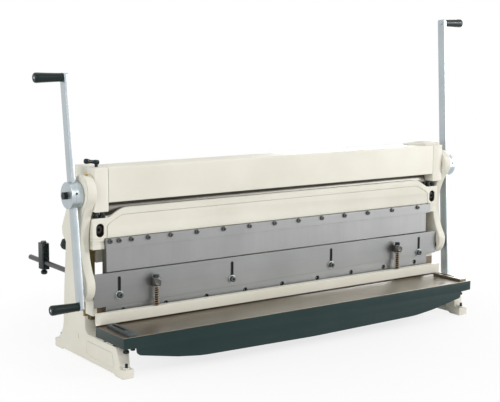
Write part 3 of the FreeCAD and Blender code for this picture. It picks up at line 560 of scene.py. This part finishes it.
def rounded_copy(node, body, material, width, side=0, flat=False):
    """A merged copy of a solid's mesh, with its sharp edges rounded by width millimetres.

    Faces within LEVEL degrees of each other become one, and an edge of more than SHARP
    degrees is rounded. A flat plate keeps one normal for each face. The edges of the shallow
    panels in the feet are rounded by about half. Side -1 or 1 keeps only the part of the
    copy on that side of the middle."""
    name = node + ("_left", "_dressed", "_right")[side + 1]
    mesh = frame["nodes"][node].data.copy()
    mesh.name = name
    mesh.materials.clear()
    mesh.materials.append(material)
    bm = bmesh.new()
    bm.from_mesh(mesh)
    bmesh.ops.remove_doubles(bm, verts=bm.verts, dist=MERGED)
    bmesh.ops.dissolve_limit(bm, angle_limit=math.radians(LEVEL), verts=bm.verts,
                             edges=bm.edges)
    bmesh.ops.delete(bm, geom=[v for v in bm.verts if v.co.x * side < 0], context="VERTS")
    weight = bm.edges.layers.float.new("bevel_weight_edge")
    for face in bm.faces:
        face.smooth = not flat
    for edge in bm.edges:
        x, y, z = (edge.verts[0].co + edge.verts[1].co) / 2
        panel = (abs(x) > PANEL_X and PANEL_Y[0] < y < PANEL_Y[1]
                 and PANEL_Z[0] < z < PANEL_Z[1])
        sharp = math.degrees(edge.calc_face_angle(0.0)) > SHARP
        edge[weight] = (PANEL_SHARE if panel else 1.0) if sharp else 0.0
    bm.to_mesh(mesh)
    bm.free()
    obj = bpy.data.objects.new(name, mesh)
    bpy.context.scene.collection.objects.link(obj)
    bevel = obj.modifiers.new("edges", "BEVEL")
    bevel.width = width * MM
    bevel.segments = 3
    bevel.limit_method = "WEIGHT"
    bevel.use_clamp_overlap = False
    bevel.harden_normals = not flat
    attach(obj, body)
    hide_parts(node)


# %% [markdown]
# Which finish and which width of rounding a solid gets depends on how it was made. One row of
# the table below serves all the pieces of one kind. The two squaring bars share one solid,
# but the left one is darkened as painted shade and the right one is bright planed steel, so
# each half is copied on its own.

# %% Finishes of the castings and plates
body_of = {n: b for b, nodes in frame["record"]["behaviour"]["bodies"].items() for n in nodes}
# Finish, width of the rounding in millimetres, whether the faces are ground flat, nodes.
DRESSED = [
    (frame_cream, 2.4, False, "left_end_frame right_end_frame"),
    (cream, 2.4, False, "right_roll_cap ram_links"),
    (cream, 1.0, False, "top_beam hold_down_bar"),
    (beam_cream, 1.8, False, "finger_beam"),
    (cream, 0.9, False, "beam_seats"),
    (ram_guide_shade, 0.9, False, "ram_guides"),
    (ram_cream, 0.9, False, "ram_beam"),
    (table_skins, 1.3, False, "table"),
    (plate_steel, 0.5, True, "front_plate"),
    (finger_steel, 0.35, True, "finger_clamp"),
    (plate_steel, 0.35, True, "upper_blade vee_die"),
    (lug_steel, 0.35, True, "lower_blade"),
    (zinc, 1.0, False, "handle_bars"),
    (lug_steel, 1.2, False, "hold_down_lugs"),
    (black_steel, 0.7, False, "left_gauge_block right_gauge_block rear_roll_blocks"),
    (black_steel, 0.5, False, "beam_adjusters"),
]
for material, width, flat, names in DRESSED:
    for node in names.split():
        rounded_copy(node, body_of[node], material, width, flat=flat)
for side, material in ((-1, left_guide_shade), (1, table_steel)):
    rounded_copy("side_guides", "frame", material, 0.9, side=side)
print("dressed:", sum(len(row[3].split()) for row in DRESSED) + 1, "solids")

# %% [markdown]
# The shaft, the rolls, the gauge rods and the smallest pins are plain bars of steel. Their
# solids need no rounding, so they keep their own mesh and only get a finish.

# %% Solids that keep their own mesh
KEPT = {
    "crank_shaft": shaded_roll_steel, "lower_roll": shaded_roll_steel, "rear_roll": shaded_roll_steel,
    "gauge_rods": rod_steel, "link_pins": black_steel, "hub_bolts": black_steel,
}
for node, material in KEPT.items():
    mesh = frame["nodes"][node].data
    mesh.materials.clear()
    mesh.materials.append(material)
print("solids with their own mesh:", len(KEPT))

# %% [markdown]
# ## Screws
# A socket screw is a turned head with a hexagonal hole. On the same rings that make the head,
# the ones that belong to the hole are scaled to a hexagon: the distance to the side of a
# hexagon at angle t is its apothem divided by the cosine of t within one sixth of a turn.

# %% Socket screws, hex heads and washers
FRONT, UP, DOWN = (0, -1, 0), (0, 0, 1), (0, 0, -1)


def six_sided(t):
    """Radius of a hexagon at angle t, as a share of its corner radius."""
    return math.cos(math.pi / 6) / np.cos(t % (math.pi / 3) - math.pi / 6)


def socket_head(origin, direction, radius, height, hole, depth, sides=36):
    """Cap screw: floor of the socket, its hexagonal wall, a rounded top and a knurled side.

    The knurl moves every second point of the side in by a little, as
    1 + 0.012 * cos(sides / 2 * t) does."""
    def shape(t, k):
        if k in (1, 2):
            return six_sided(t)
        return np.where(k >= 6, 1 + 0.012 * np.cos(sides / 2 * t), 1.0)
    c = radius * 0.16
    profile = [(0, height - depth), (hole, height - depth), (hole, height), (hole * 1.22, height),
               (radius - c, height), (radius - c * 0.3, height - c * 0.3),
               (radius, height - c), (radius, 0.0)]
    return lathe(profile, origin, direction, sides, shape)


def hex_head(origin, direction, across, height):
    """Hexagon head: the sides are hexagonal rings and the top is a smaller round disc."""
    corner = across / 2 / math.cos(math.pi / 6)
    profile = [(corner, 0.0), (corner, height * 0.86), (across / 2 * 0.97, height), (0, height)]
    return lathe(profile, origin, direction,
                 shape=lambda t, k: six_sided(t) if k < 2 else np.ones_like(t))


def washer(origin, direction, inner, outer, thick):
    """Flat ring with its two outer edges eased by three tenths of its thickness."""
    e = thick * 0.3
    return lathe([(inner, 0), (outer - e, 0), (outer, e), (outer, thick - e), (outer - e, thick),
                  (inner, thick), (inner, 0)], origin, direction, 40)


# %% [markdown]
# One screw clamps each brake finger, in the middle of its width. The fifteen widths add up to
# the whole row, so their running sum gives the joints and the joints give the screws.

# %% Clamp screws
WIDTHS = np.array([25, 36, 48, 69, 91, 100, 102, 101, 101, 99, 100, 101, 110, 118, 129], float)
CLAMP_SCREW_Z = 378 * MM
clamp_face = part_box("finger_clamp")[0][1]
row_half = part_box("brake_fingers")[1][0]
joints = np.concatenate([[0.0], np.cumsum(WIDTHS)]) / WIDTHS.sum() * 2 * row_half - row_half
middles = (joints[:-1] + joints[1:]) / 2
piece("clamp_screws",
      [socket_head((x, clamp_face + 1.5 * MM, CLAMP_SCREW_Z), FRONT, radius=7.6 * MM,
                   height=6.5 * MM, hole=3.4 * MM, depth=3.5 * MM) for x in middles],
      "frame", sheen_screw_steel)
print("clamp screws:", len(middles), "from", round(middles[0], 3), "to", round(middles[-1], 3))

# %% [markdown]
# The brake fingers are ground plates of those fifteen widths, pushed together and clamped
# behind the strip. Their fronts stand upright, nearly level with the strip at the left and a
# few millimetres behind it at the right, and the nose under them slopes back to the bending
# edge. Each is one outline drawn along the beam, eased a little at both faces, so that only a
# hair line shows where two fingers meet.

# %% Brake fingers
ROW_END = 648 * MM
FINGER_TOP, FINGER_BACK = 353.9 * MM, -34.5 * MM
FIRST_SET_BACK, NEXT_SET_BACK = 0.4, 0.26
HAIR_LINE = 0.05 * MM


def prism(outline, low, high, ease):
    """An outline in Y and Z drawn from x = low to x = high, shrunk by ease at both ends.

    Ring by ring: the middle of the face, the eased outline, the full outline, and the same
    in reverse at the other end."""
    outline = np.array(outline, float)
    middle = (outline.min(0) + outline.max(0)) / 2
    small = middle + (outline - middle) * (1 - 2 * ease / np.ptp(outline, axis=0))
    rows = []
    for x, ring in ((low, 0 * outline + middle), (low, small), (low + ease, outline),
                    (high - ease, outline), (high, small), (high, 0 * outline + middle)):
        rows.append(np.column_stack([np.full(len(ring), x), ring]))
    return grid(np.array(rows))


finger = np.array([(clamp_face, FINGER_TOP), (clamp_face, 285.6 * MM),
                   (clamp_face + 0.3 * MM, 284.8 * MM), (clamp_face + 1 * MM, 284.2 * MM),
                   (-37 * MM, 276.9 * MM), (-35.2 * MM, 276.5 * MM),
                   (FINGER_BACK, 277.4 * MM), (FINGER_BACK, FINGER_TOP)])
faces_x = np.append(joints[:-1], ROW_END)
front_only = (np.arange(len(finger)) < 4)[:, None] * [1.0, 0.0]
piece("brake_plates",
      [prism(finger + front_only * (FIRST_SET_BACK + NEXT_SET_BACK * k) * MM,
             faces_x[k] + HAIR_LINE, faces_x[k + 1] - HAIR_LINE, ease=0.12 * MM)
       for k in range(len(WIDTHS))],
      "frame", finger_steel, smooth=8, replaces=["brake_fingers"])
print("fingers:", len(WIDTHS))

# %% [markdown]
# The ground plate hangs on four bolts in upright slots. Each bolt has a bright washer, wider
# than the slot, which is why the black heads show a pale ring. A thin near-black strip closes
# each slot at the back of the plate, as painted shade for the deep slot. The shear blade is
# raked, and its small screws climb with it.

# %% Bolts of the front plate and screws of the shear blade
PLATE_BOLT_Z, SLOT_TOP = 209 * MM, 265.8 * MM
plate_low, plate_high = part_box("front_plate")
pitch = plate_high[0] * 0.5858
slots = [(k + 0.5) * pitch for k in (-2, -1, 0, 1)]
piece("plate_washers", [washer((x, plate_low[1], PLATE_BOLT_Z), FRONT, inner=5 * MM,
                               outer=13 * MM, thick=2 * MM) for x in slots], "ram", zinc)
piece("plate_bolts",
      [socket_head((x, plate_low[1] - 1 * MM, PLATE_BOLT_Z), FRONT, radius=9.8 * MM,
                   height=8.5 * MM, hole=4.4 * MM, depth=5 * MM) for x in slots],
      "ram", sheen_screw_steel)


def slot_floor(x, low, high, half, y, thick, steps=12):
    """Thin strip with round ends: its outline goes round both half circles as one ring.

    The four rings are the middle and the outline at y, and the same a thickness in front."""
    t = np.linspace(0, TURN, 2 * steps, endpoint=False)
    end = np.where(np.sin(t) > 0, high - half, low + half)
    ring = np.stack([x + half * np.cos(t), 0 * t, end + half * np.sin(t)], 1)
    rows = [ring * 1.0 for _ in range(4)]
    for row, share, depth in zip(rows, (0, 1, 1, 0), (0, 0, thick, thick)):
        row[:, 0] = x + (row[:, 0] - x) * share
        row[:, 2] = (low + high) / 2 + (row[:, 2] - (low + high) / 2) * share
        row[:, 1] = y - depth
    return grid(np.array(rows))


# The slots end a little above the plate's slanted lower edge, here at its left and right end.
foot_left, foot_right = 177 * MM + 17.8 * MM, 200 * MM + 4 * MM
slot_feet = [foot_left + (foot_right - foot_left) * (x / plate_high[0] + 1) / 2 for x in slots]
# The strips are painted shade: near-black, for the dark inside of the slots.
piece("slot_shade_strips",
      [slot_floor(x, low + 0.2 * MM, SLOT_TOP, half=5.3 * MM, y=plate_high[1], thick=0.6 * MM)
       for x, low in zip(slots, slot_feet)], "ram", oil_and_shade_steel)
blade_low, blade_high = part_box("upper_blade")
blade_x = (np.arange(9) - 4) * (blade_high[0] * 0.2274)
blade_z = np.linspace(159, 174.5, 9) * MM
piece("blade_screws",
      [socket_head((x, blade_low[1] + 6.5 * MM, z), FRONT, radius=7.7 * MM, height=3.5 * MM,
                   hole=3.4 * MM, depth=2 * MM) for x, z in zip(blade_x, blade_z)],
      "ram", black_steel)
print("plate bolts at", [round(x, 3) for x in slots])

# %% [markdown]
# ## Hold-down
# The bar under the plate is pressed on the sheet by two springs. A coil spring is a circle
# carried along a helix: the point on the helix moves round the axis and up at the same time,
# and the first and last turn flatten out, as ground ends do.

# %% Coil springs
SPINDLE_INSET = 14.5 * MM
BOTH = (-1, 1)


def coil(origin, radius, wire, height, turns, steps=28, sides=10):
    """Round wire along a helix whose pitch fades to nothing over the end turns.

    A point is origin + radius * out + climb * up + wire * (cos t * out + sin t * up), where
    out turns with the angle a and climb is the running sum of the pitch."""
    s = np.linspace(0, 1, int(turns * steps))
    a = TURN * turns * s
    ease = np.clip(np.minimum(s, 1 - s) * turns / 0.9, 0, 1)
    climb = np.cumsum(ease)
    climb = (climb - climb[0]) / (climb[-1] - climb[0])
    z = wire + climb * (height - 2 * wire)
    out = np.stack([np.cos(a), np.sin(a), 0 * a], 1)
    path = np.array(origin) + radius * out + np.outer(z, [0, 0, 1])
    t = np.linspace(0, TURN, sides, endpoint=False)
    ring = wire * (np.cos(t)[None, :, None] * out[:, None, :]
                   + np.sin(t)[None, :, None] * np.array([0, 0, 1.0]))
    return grid(path[:, None, :] + ring)


bar_low, bar_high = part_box("hold_down_bar")
lug_low, lug_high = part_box("hold_down_lugs")
hold_x = lug_high[0] - SPINDLE_INSET
hold_y = (bar_low[1] + bar_high[1]) / 2
spring_gap = lug_low[2] - bar_high[2] - 2 * MM
springs = piece("coil_springs",
                [coil((side * hold_x, hold_y, bar_high[2] + 0.1 * MM), radius=9.2 * MM,
                      wire=1.2 * MM, height=spring_gap, turns=9) for side in BOTH],
                "ram", spring_steel, smooth=60, replaces=["hold_down_springs"])
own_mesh(springs)
print("spring length:", round(spring_gap, 4))

# %% [markdown]
# Each spring sits round a spindle that stands on the bar and slides through a lug on the
# plate. A hexagon head on a washer stops the spindle above the lug, and a round boss on the
# front of the lug covers its fixing screw.

# %% Spindles, their heads and the bosses of the lugs
SPINDLE_FOOT, SPINDLE_LENGTH, BOSS_Z = 147 * MM, 103 * MM, 240 * MM
piece("spring_washers",
      [washer((side * hold_x, hold_y, lug_low[2] - 1.7 * MM), UP, inner=5.2 * MM,
              outer=11 * MM, thick=1.6 * MM) for side in BOTH], "ram", zinc)
spindle = [(0, 0), (4.9 * MM, 0), (4.9 * MM, SPINDLE_LENGTH), (0, SPINDLE_LENGTH)]
# The spindles are black for the oil and as painted shade inside the springs.
piece("hold_down_spindles",
      [lathe(spindle, (side * hold_x, hold_y, SPINDLE_FOOT), UP, sides=24) for side in BOTH],
      "hold_down", oil_and_shade_steel, replaces=["hold_down_screws"])
piece("hold_down_heads",
      [hex_head((side * hold_x, hold_y, lug_high[2] + 1.7 * MM), UP, across=16.5 * MM,
                height=9.5 * MM) for side in BOTH], "hold_down", black_steel)
piece("hold_down_washers",
      [washer((side * hold_x, hold_y, lug_high[2] + 0.2 * MM), UP, inner=5 * MM,
              outer=10.5 * MM, thick=1.5 * MM) for side in BOTH], "hold_down", zinc)
boss = np.array([(0, 0), (12.6, 0), (12.6, 3.6), (11.2, 5.2), (7.4, 5.6), (6.6, 4.6), (0, 4.6)])
piece("lug_bosses",
      [lathe(rounded_profile(boss * MM, 1 * MM),
             (side * hold_x - 4 * MM, lug_low[1] + 1 * MM, BOSS_Z), FRONT, sides=36)
       for side in BOTH], "ram", lug_steel)
print("spindles at", round(hold_x, 4), "on both sides")

# %% [markdown]
# ## Handle grips
# A machine grip swells towards its outer third so that the hand doesn't slip off. It turns on
# a bolt, whose bright rivet end shows in the middle of the face. The outline below is the
# turned profile, and each grip is one lathe.

# %% Grips and their bolts
crank = {j["name"]: j for j in frame["record"]["behaviour"]["joints"]}["crank_turn"]["pos_m"]
# Side: lean of the bar in degrees, and its length above and below the shaft in millimetres.
BARS = {-1: (6.8, 357.0, 341.0), 1: (3.45, 531.0, 469.0)}
BAR_OUTER, BAR_INNER, GRIP_FACE, GRIP_INSET = 764.6 * MM, 752 * MM, 87.3 * MM, 12.0
grip = rounded_profile(np.array([(0, 0), (12.4, 0), (13.1, 2), (12.8, 7), (13.2, 26), (13.9, 48),
                                 (14.7, 68), (15.3, 80), (14.9, 86), (12.6, 89), (8.5, 89.6),
                                 (5.2, 89.3), (5.0, 87.4), (0, 87.4)]) * MM, 2.5 * MM)
rivet = [(0, 0), (4.4 * MM, 0), (4.2 * MM, 1.2 * MM), (2.4 * MM, 2.2 * MM), (0, 2.4 * MM)]
bolt_head = np.array([(0, 0), (6.4, 0), (6.4, 1.8), (5.6, 2.6), (0, 2.6)]) * MM
grips, rivets, collars, inner_heads = [], [], [], []
for side, (lean, above, below) in BARS.items():
    a = math.radians(lean)
    outward = (side, 0, 0)
    for s in (above - GRIP_INSET, GRIP_INSET - below):
        y, z = crank[1] + math.sin(a) * s * MM, crank[2] + math.cos(a) * s * MM
        start = (side * BAR_OUTER, y, z)
        grips.append(lathe(grip, start, outward, sides=40))
        rivets.append(lathe(rivet, (start[0] + side * GRIP_FACE, y, z), outward, sides=24))
        collars.append(washer(start, outward, inner=4 * MM, outer=13.4 * MM, thick=1.4 * MM))
        inner_heads.append(lathe(bolt_head, (side * BAR_INNER, y, z), (-side, 0, 0), sides=28))
piece("hand_grips", grips, "crank", black_grip, replaces=["handle_grips"])
piece("grip_rivets", rivets, "crank", zinc)
piece("grip_collars", collars, "crank", black_steel)
piece("grip_bolt_heads", inner_heads, "crank", zinc)
print("grips:", len(grips), "bolt heads:", len(inner_heads))

# %% [markdown]
# The bars are clamped between two discs on the end of the shaft. The discs are turned together,
# with a fine groove where they meet and a small set screw in the side of the inner one.

# %% Hubs
HUB_DEPTH = 37.5
hub_low, hub_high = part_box("crank_hubs")
hub = np.array([(0, 0), (39, 0), (40, 1), (40, 24.3), (39.4, 24.7), (39.4, 25.1), (40, 25.5),
                (40, 36.4), (38.9, HUB_DEPTH), (0, HUB_DEPTH)]) * MM
inner_x = hub_high[0] - HUB_DEPTH * MM
piece("turned_hubs",
      [lathe(hub, (side * inner_x, crank[1], crank[2]), (side, 0, 0), sides=96)
       for side in BOTH], "crank", zinc, smooth=25, replaces=["crank_hubs"])
piece("hub_set_screws",
      [socket_head((side * 763 * MM, crank[1] - 39.4 * MM, crank[2] + 9 * MM), FRONT,
                   radius=3.4 * MM, height=1 * MM, hole=1.6 * MM, depth=0.8 * MM)
       for side in BOTH], "crank", black_steel)
print("hub radius:", round((hub_high[2] - hub_low[2]) / 2, 4))

# %% [markdown]
# The adjusting knobs are moulded with flutes for the fingers. The flutes are a cosine round the
# knob, deepest halfway along it and gone at both rounded ends. The screw in the knob is slanted
# and lifts the rear roll. Its thread is drawn as a row of ridges, one for each turn.

# %% Roll knobs and their screws
def fluted(profile, origin, direction, flutes, depth, first, last, sides=96):
    """Lathe whose rings between first and last carry a cosine of that many flutes.

    There the radius is scaled by 1 - depth * (0.5 + 0.5 * cos(flutes * t))^2."""
    def shape(t, k):
        on = 1.0 if first <= k <= last else 0.0
        return 1 - on * depth * (0.5 + 0.5 * np.cos(flutes * t)) ** 2
    return lathe(profile, origin, direction, sides, shape)


LIFT = np.array([0.0, -0.573, 0.8195])
KNOB_Y, KNOB_Z, KNOB_DEPTH = 172 * MM, 337 * MM, 16
KNOB = np.array([(0, -14.5), (9.5, -14.5), (13.5, -12.5), (16, -9), (16.8, -5), (16.8, 7),
                 (16, 10.5), (13, 13), (9.5, 14.5), (0, 14.5)]) * MM
for name in ("left", "right"):
    low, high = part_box(name + "_roll_knob")
    middle = (low[0] + high[0]) / 2, KNOB_Y, KNOB_Z
    length = (high[2] - KNOB_Z) / LIFT[2] - 3 * MM
    thread = [(0, 0)] + [((6.9 if k % 2 else 5.9) * MM, (KNOB_DEPTH + k) * MM)
                         for k in range(int(length / MM) - KNOB_DEPTH)]
    thread.append((0, thread[-1][1]))
    piece(name + "_fluted_knob",
          [fluted(KNOB, middle, LIFT, flutes=10, depth=0.10, first=3, last=6)],
          name + "_knob", black_grip, replaces=[name + "_roll_knob"])
    piece(name + "_lift_thread", [lathe(thread, middle, LIFT, sides=24)],
          name + "_knob", rod_steel, smooth=50)
print("threads:", len(thread), "rings each")

# %% [markdown]
# A small clamp lever stands on the left head. Its moulded arm lies nearly level on a short
# black post, and a bright pin closes the short end of the arm.

# %% Clamp lever
LEVER_X, POST_HEIGHT = -683.6 * MM, 14
low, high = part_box("roll_clamp_lever")
post = np.array([LEVER_X, (low[1] + high[1]) / 2, low[2]])
pivot, lean = post + [0, 0, POST_HEIGHT * MM], math.radians(8)
along = np.array([-math.cos(lean), 0, math.sin(lean)])
arm = np.array([(0, -8), (5.6, -8), (7, -6.6), (7, 5.6), (6, 7.2), (5.7, 9.5), (5.5, 14),
                (5.7, 20), (6.8, 25), (7.8, 29), (8, 33), (7.4, 37), (5, 39.6), (0, 40)]) * MM
tip = np.array([(0, -11), (1.9, -11), (2.8, -10.2), (2.8, -8), (0, -8)]) * MM
column = np.array([(0, 0), (5, 0), (5, POST_HEIGHT), (0, POST_HEIGHT)]) * MM
piece("lever_arm", [lathe(rounded_profile(arm, 1.5 * MM), pivot, along, sides=32)],
      "clamp_lever", black_grip, replaces=["roll_clamp_lever"])
piece("lever_tip", [lathe(tip, pivot, along, sides=24)], "clamp_lever", zinc)
piece("lever_post", [lathe(column, post, UP, sides=24)], "clamp_lever", black_steel)
print("lever pivot:", [round(float(v), 4) for v in pivot])

# %% [markdown]
# ## Oil nipples and foundation bolts
# Each link has a small brass nipple on its eye, pointing up and forward, and each foot is
# held down by a stud at the front and at the back with a thick painted washer.

# %% Nipples and foot bolts
LINK_X, EYE_RADIUS, FOOT_X = 722 * MM, 49.6, 683.6
eye = np.array([0.0, -39.25, 530.5]) * MM
tilt = math.radians(101.0)
out = np.array([0.0, math.cos(tilt), math.sin(tilt)])
oiler = np.array([(0, 0), (4.4, 0), (4.6, 1), (4.6, 3.4), (4.0, 4.2), (3.0, 4.6), (2.6, 6),
                  (1.2, 6.8), (0, 7)]) * MM
piece("oil_nipples",
      [lathe(oiler, eye + out * EYE_RADIUS * MM + [side * LINK_X, 0, 0], out, sides=20)
       for side in BOTH], "ram", brass)
stud = np.array([(0, 0), (4.5, 0), (4.5, 10.5), (3.6, 11.7), (0, 11.7)]) * MM
feet = [np.array([side * FOOT_X * MM, y, z]) for side in BOTH
        for y, z in ((-212 * MM, 27 * MM), (212 * MM, 28 * MM))]
piece("foot_washers", [washer(at, UP, inner=4.5 * MM, outer=10 * MM, thick=4.4 * MM)
                       for at in feet], "frame", cream)
piece("foot_bolts", [lathe(stud, at + [0, 0, 4.3 * MM], UP, sides=20) for at in feet],
      "frame", black_steel)
print("foot washers:", len(feet))

# %% [markdown]
# The back gauge blocks slide on two rods and are locked by a screw from below, whose mushroom
# knob is turned by hand. A round head closes the top of each block.

# %% Gauge screws
thumb = np.array([(0, 0), (5.4, 0), (5.4, 3.6), (8.5, 5.4), (11, 8), (11, 14), (9.6, 17),
                  (6.5, 18.7), (0, 19)]) * MM
cap = np.array([(0, 0), (9.8, 0), (10, 1), (10, 4), (8.6, 6), (5, 6.8), (0, 7)]) * MM
for name in ("left", "right"):
    low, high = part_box(name + "_gauge_block")
    x, y = (low[0] + high[0]) / 2, (low[1] + high[1]) / 2
    piece(name + "_thumb_knob",
          [fluted(thumb, (x, y, low[2]), DOWN, flutes=12, depth=0.05, first=4, last=5)],
          name + "_gauge", black_grip, replaces=[name + "_gauge_screw"])
    piece(name + "_gauge_cap",
          [lathe(rounded_profile(cap, 1 * MM), (x, y, high[2]), UP, sides=32)],
          name + "_gauge", rod_steel)
print("gauge block:", round(high[2] - low[2], 4), "high")

# %% [markdown]
# ## Small parts of the beam and the table
# A black lock nut holds each height adjuster of the finger beam, and a cream plate stands
# behind each sloped shoulder of that beam. Under the front of the table four round screws
# level it on the feet, two large outer ones and two smaller ones nearer the middle.

# %% Lock nuts, shoulder plates and levelling screws
LOCK_NUT, SHOULDER_X = (667 * MM, -42 * MM, 448 * MM), (560 * MM, 659 * MM)
LEVELLER_Z = 73 * MM
# X and Y of each levelling screw in millimetres, and its size as a share of the large one's.
LEVELLERS = ((-681.5, -207, 1.0), (-650, -190, 0.8), (650, -190, 0.8), (681.5, -207, 1.0))
lock_nut = np.array([(0, 0), (9.4, 0), (10, 0.8), (10, 8), (7, 9), (7, 18.5), (0, 18.5)]) * MM
piece("beam_lock_nuts",
      [lathe(rounded_profile(lock_nut, 0.8 * MM), (side * LOCK_NUT[0], *LOCK_NUT[1:]), UP,
             sides=32) for side in BOTH], "frame", black_steel)
shoulder = np.array([(12.5, 441), (13.5, 440), (20.5, 440), (21.5, 441), (21.5, 474.5),
                     (20.5, 475.5), (13.5, 475.5), (12.5, 474.5)]) * MM
piece("rear_shoulders",
      [prism(shoulder, *sorted(side * x for x in SHOULDER_X), ease=1 * MM) for side in BOTH],
      "frame", cream)
screw = np.array([(0, 0), (8.6, 0), (9, 1), (9, 8), (5, 9), (5, 26), (0, 26)])
piece("table_levellers",
      [lathe(rounded_profile(screw * size * MM, 1 * MM), (x * MM, y * MM, LEVELLER_Z), UP,
             sides=28) for x, y, size in LEVELLERS], "frame", black_steel)
print("levelling screws:", len(LEVELLERS))

# %% [markdown]
# At each end of the finger beam a bolt sits deep in a long pocket and clamps the beam to the
# frame. Only the dark mouth of the pocket shows, with the knurled head inside it.

# %% Bolts in the pockets
bolt_x, bolt_y, bolt_z = beam_high[0] - 22 * MM, beam_low[1] + 21 * MM, 413 * MM
piece("pocket_bolts",
      [socket_head((side * bolt_x, bolt_y, bolt_z), FRONT, radius=12.5 * MM, height=14 * MM,
                   hole=5.5 * MM, depth=8 * MM) for side in BOTH], "frame", oil_and_shade_steel)
print("pocket bolts at", round(bolt_x, 4), "on both sides")

# %% [markdown]
# ## Floor, light and camera
# A product photograph is lit by large soft lamps over a white sweep. The floor shows white to
# the camera and in reflections, while for all other light it is an ordinary pale surface, so
# that the shadow under the feet stays.

# %% Floor that keeps the shadow
WHITE = (1.0, 1.0, 1.0, 1.0)
FLOOR_SIZE = 24.0


def seen_directly():
    """1 for what the camera, the gloss and the glass see, 0 for the light that bounces."""
    rays = [Node.make("ShaderNodeLightPath", output="Is %s Ray" % kind)
            for kind in ("Camera", "Glossy", "Transmission")]
    return rays[0] + rays[1] + rays[2]


def floor_material():
    """A pale diffuse floor mixed with plain white, whose share grows with the distance."""
    material = bpy.data.materials.new("white_sweep")
    material.use_nodes = True
    Node.tree = tree = material.node_tree
    shader = tree.nodes["Principled BSDF"]
    shader.inputs["Base Color"].default_value = (0.86, 0.86, 0.85, 1.0)
    shader.inputs["Roughness"].default_value = 0.9
    where = Node.make("ShaderNodeTexCoord", output="Object")
    away = Node.make("ShaderNodeVectorMath", output="Value", settings={"operation": "LENGTH"},
                     i0=where)
    share = ramp(away * 0.2, (0.08, 0.76), (0.22, 1.0)) * seen_directly()
    white = Node.make("ShaderNodeEmission", Strength=1.0, Color=WHITE)
    mix = tree.nodes.new("ShaderNodeMixShader")
    tree.links.new(share.socket, mix.inputs[0])
    tree.links.new(shader.outputs[0], mix.inputs[1])
    tree.links.new(white.socket, mix.inputs[2])
    tree.links.new(mix.outputs[0], tree.nodes["Material Output"].inputs["Surface"])
    return material


bpy.ops.mesh.primitive_grid_add(x_subdivisions=4, y_subdivisions=4, size=1)
floor = bpy.context.object
floor.name = "floor"
floor.data.transform(Matrix.Scale(FLOOR_SIZE, 4))
floor.data.materials.append(floor_material())
print("floor:", FLOOR_SIZE, "m wide")

# %% [markdown]
# The key lamp stands at the front right, a weak one above and a fill at the left. Ground
# steel needs something bright to mirror, which a studio gives it with a white card, so a
# fourth lamp stands at the right and shows only in reflections. The world is white to the
# camera and half as strong for all other light.

# %% World and lamps
world = bpy.data.worlds.new("studio")
bpy.context.scene.world = world
world.use_nodes = True
Node.tree = world.node_tree
background = world.node_tree.nodes["Background"]
strength = seen_directly() * 0.5 + 0.5
world.node_tree.links.new(strength.socket, background.inputs["Strength"])
background.inputs["Color"].default_value = WHITE


def lamp(name, at, target, width, height, power):
    """Rectangular soft lamp that stands at one point and is aimed at another."""
    data = bpy.data.lights.new(name, "AREA")
    data.shape = "RECTANGLE"
    data.size, data.size_y, data.energy = width, height, power
    obj = bpy.data.objects.new(name, data)
    bpy.context.scene.collection.objects.link(obj)
    obj.location = at
    aim = Vector(target) - Vector(at)
    obj.rotation_euler = aim.to_track_quat("-Z", "Y").to_euler()
    return obj


lamp("key", (5.6, -5.7, 4.3), (0, 0, 0.3), 1.0, 1.0, 318)
lamp("top", (-0.4, 0.3, 3.4), (0, 0, 0.3), 3.2, 2.0, 12)
lamp("fill", (-3.6, -1.2, 1.6), (0, 0, 0.4), 2.2, 2.2, 39)
card = lamp("card", (3.0, 0.0, 1.0), (0, 0.0, 0.7), 8.0, 2.0, 215)
card.visible_diffuse = False
print("lamps:", len(bpy.data.lights))

# %% [markdown]
# The camera's place, direction and lens were fitted to edges of the machine in the
# photograph. Its three axes are worked out from the yaw and the pitch and then turned by the
# slight roll, because a matrix of axes leaves no doubt about the order of the turns.

# %% Camera at the photograph's angle
YAW, PITCH, ROLL = math.radians(35.26), math.radians(8.25), 0.006
CAMERA_PLACE, LENS, SENSOR = (-2.2056, -2.9803, 0.9774), 80.47, 36.0
ahead = Vector((math.sin(YAW) * math.cos(PITCH), math.cos(YAW) * math.cos(PITCH),
                -math.sin(PITCH)))
right = ahead.cross(Vector((0, 0, 1))).normalized()
up = right.cross(ahead)
right, up = (right * math.cos(ROLL) + up * math.sin(ROLL),
             up * math.cos(ROLL) - right * math.sin(ROLL))
camera_data = bpy.data.cameras.new("camera")
camera_data.sensor_fit = "HORIZONTAL"
camera_data.sensor_width = SENSOR
camera_data.lens = LENS
camera = bpy.data.objects.new("camera", camera_data)
bpy.context.scene.collection.objects.link(camera)
turned = Matrix((right, up, -ahead)).transposed().to_4x4()
camera.matrix_world = Matrix.Translation(CAMERA_PLACE) @ turned
bpy.context.scene.camera = camera
bpy.context.scene.view_settings.view_transform = "Standard"
print("camera:", [round(v, 3) for v in camera.location], "lens", camera_data.lens)

# %% [markdown]
# The last cell marks the end of the script. The dressed machine has to stay inside the
# first one.

# %% The end
print("done")
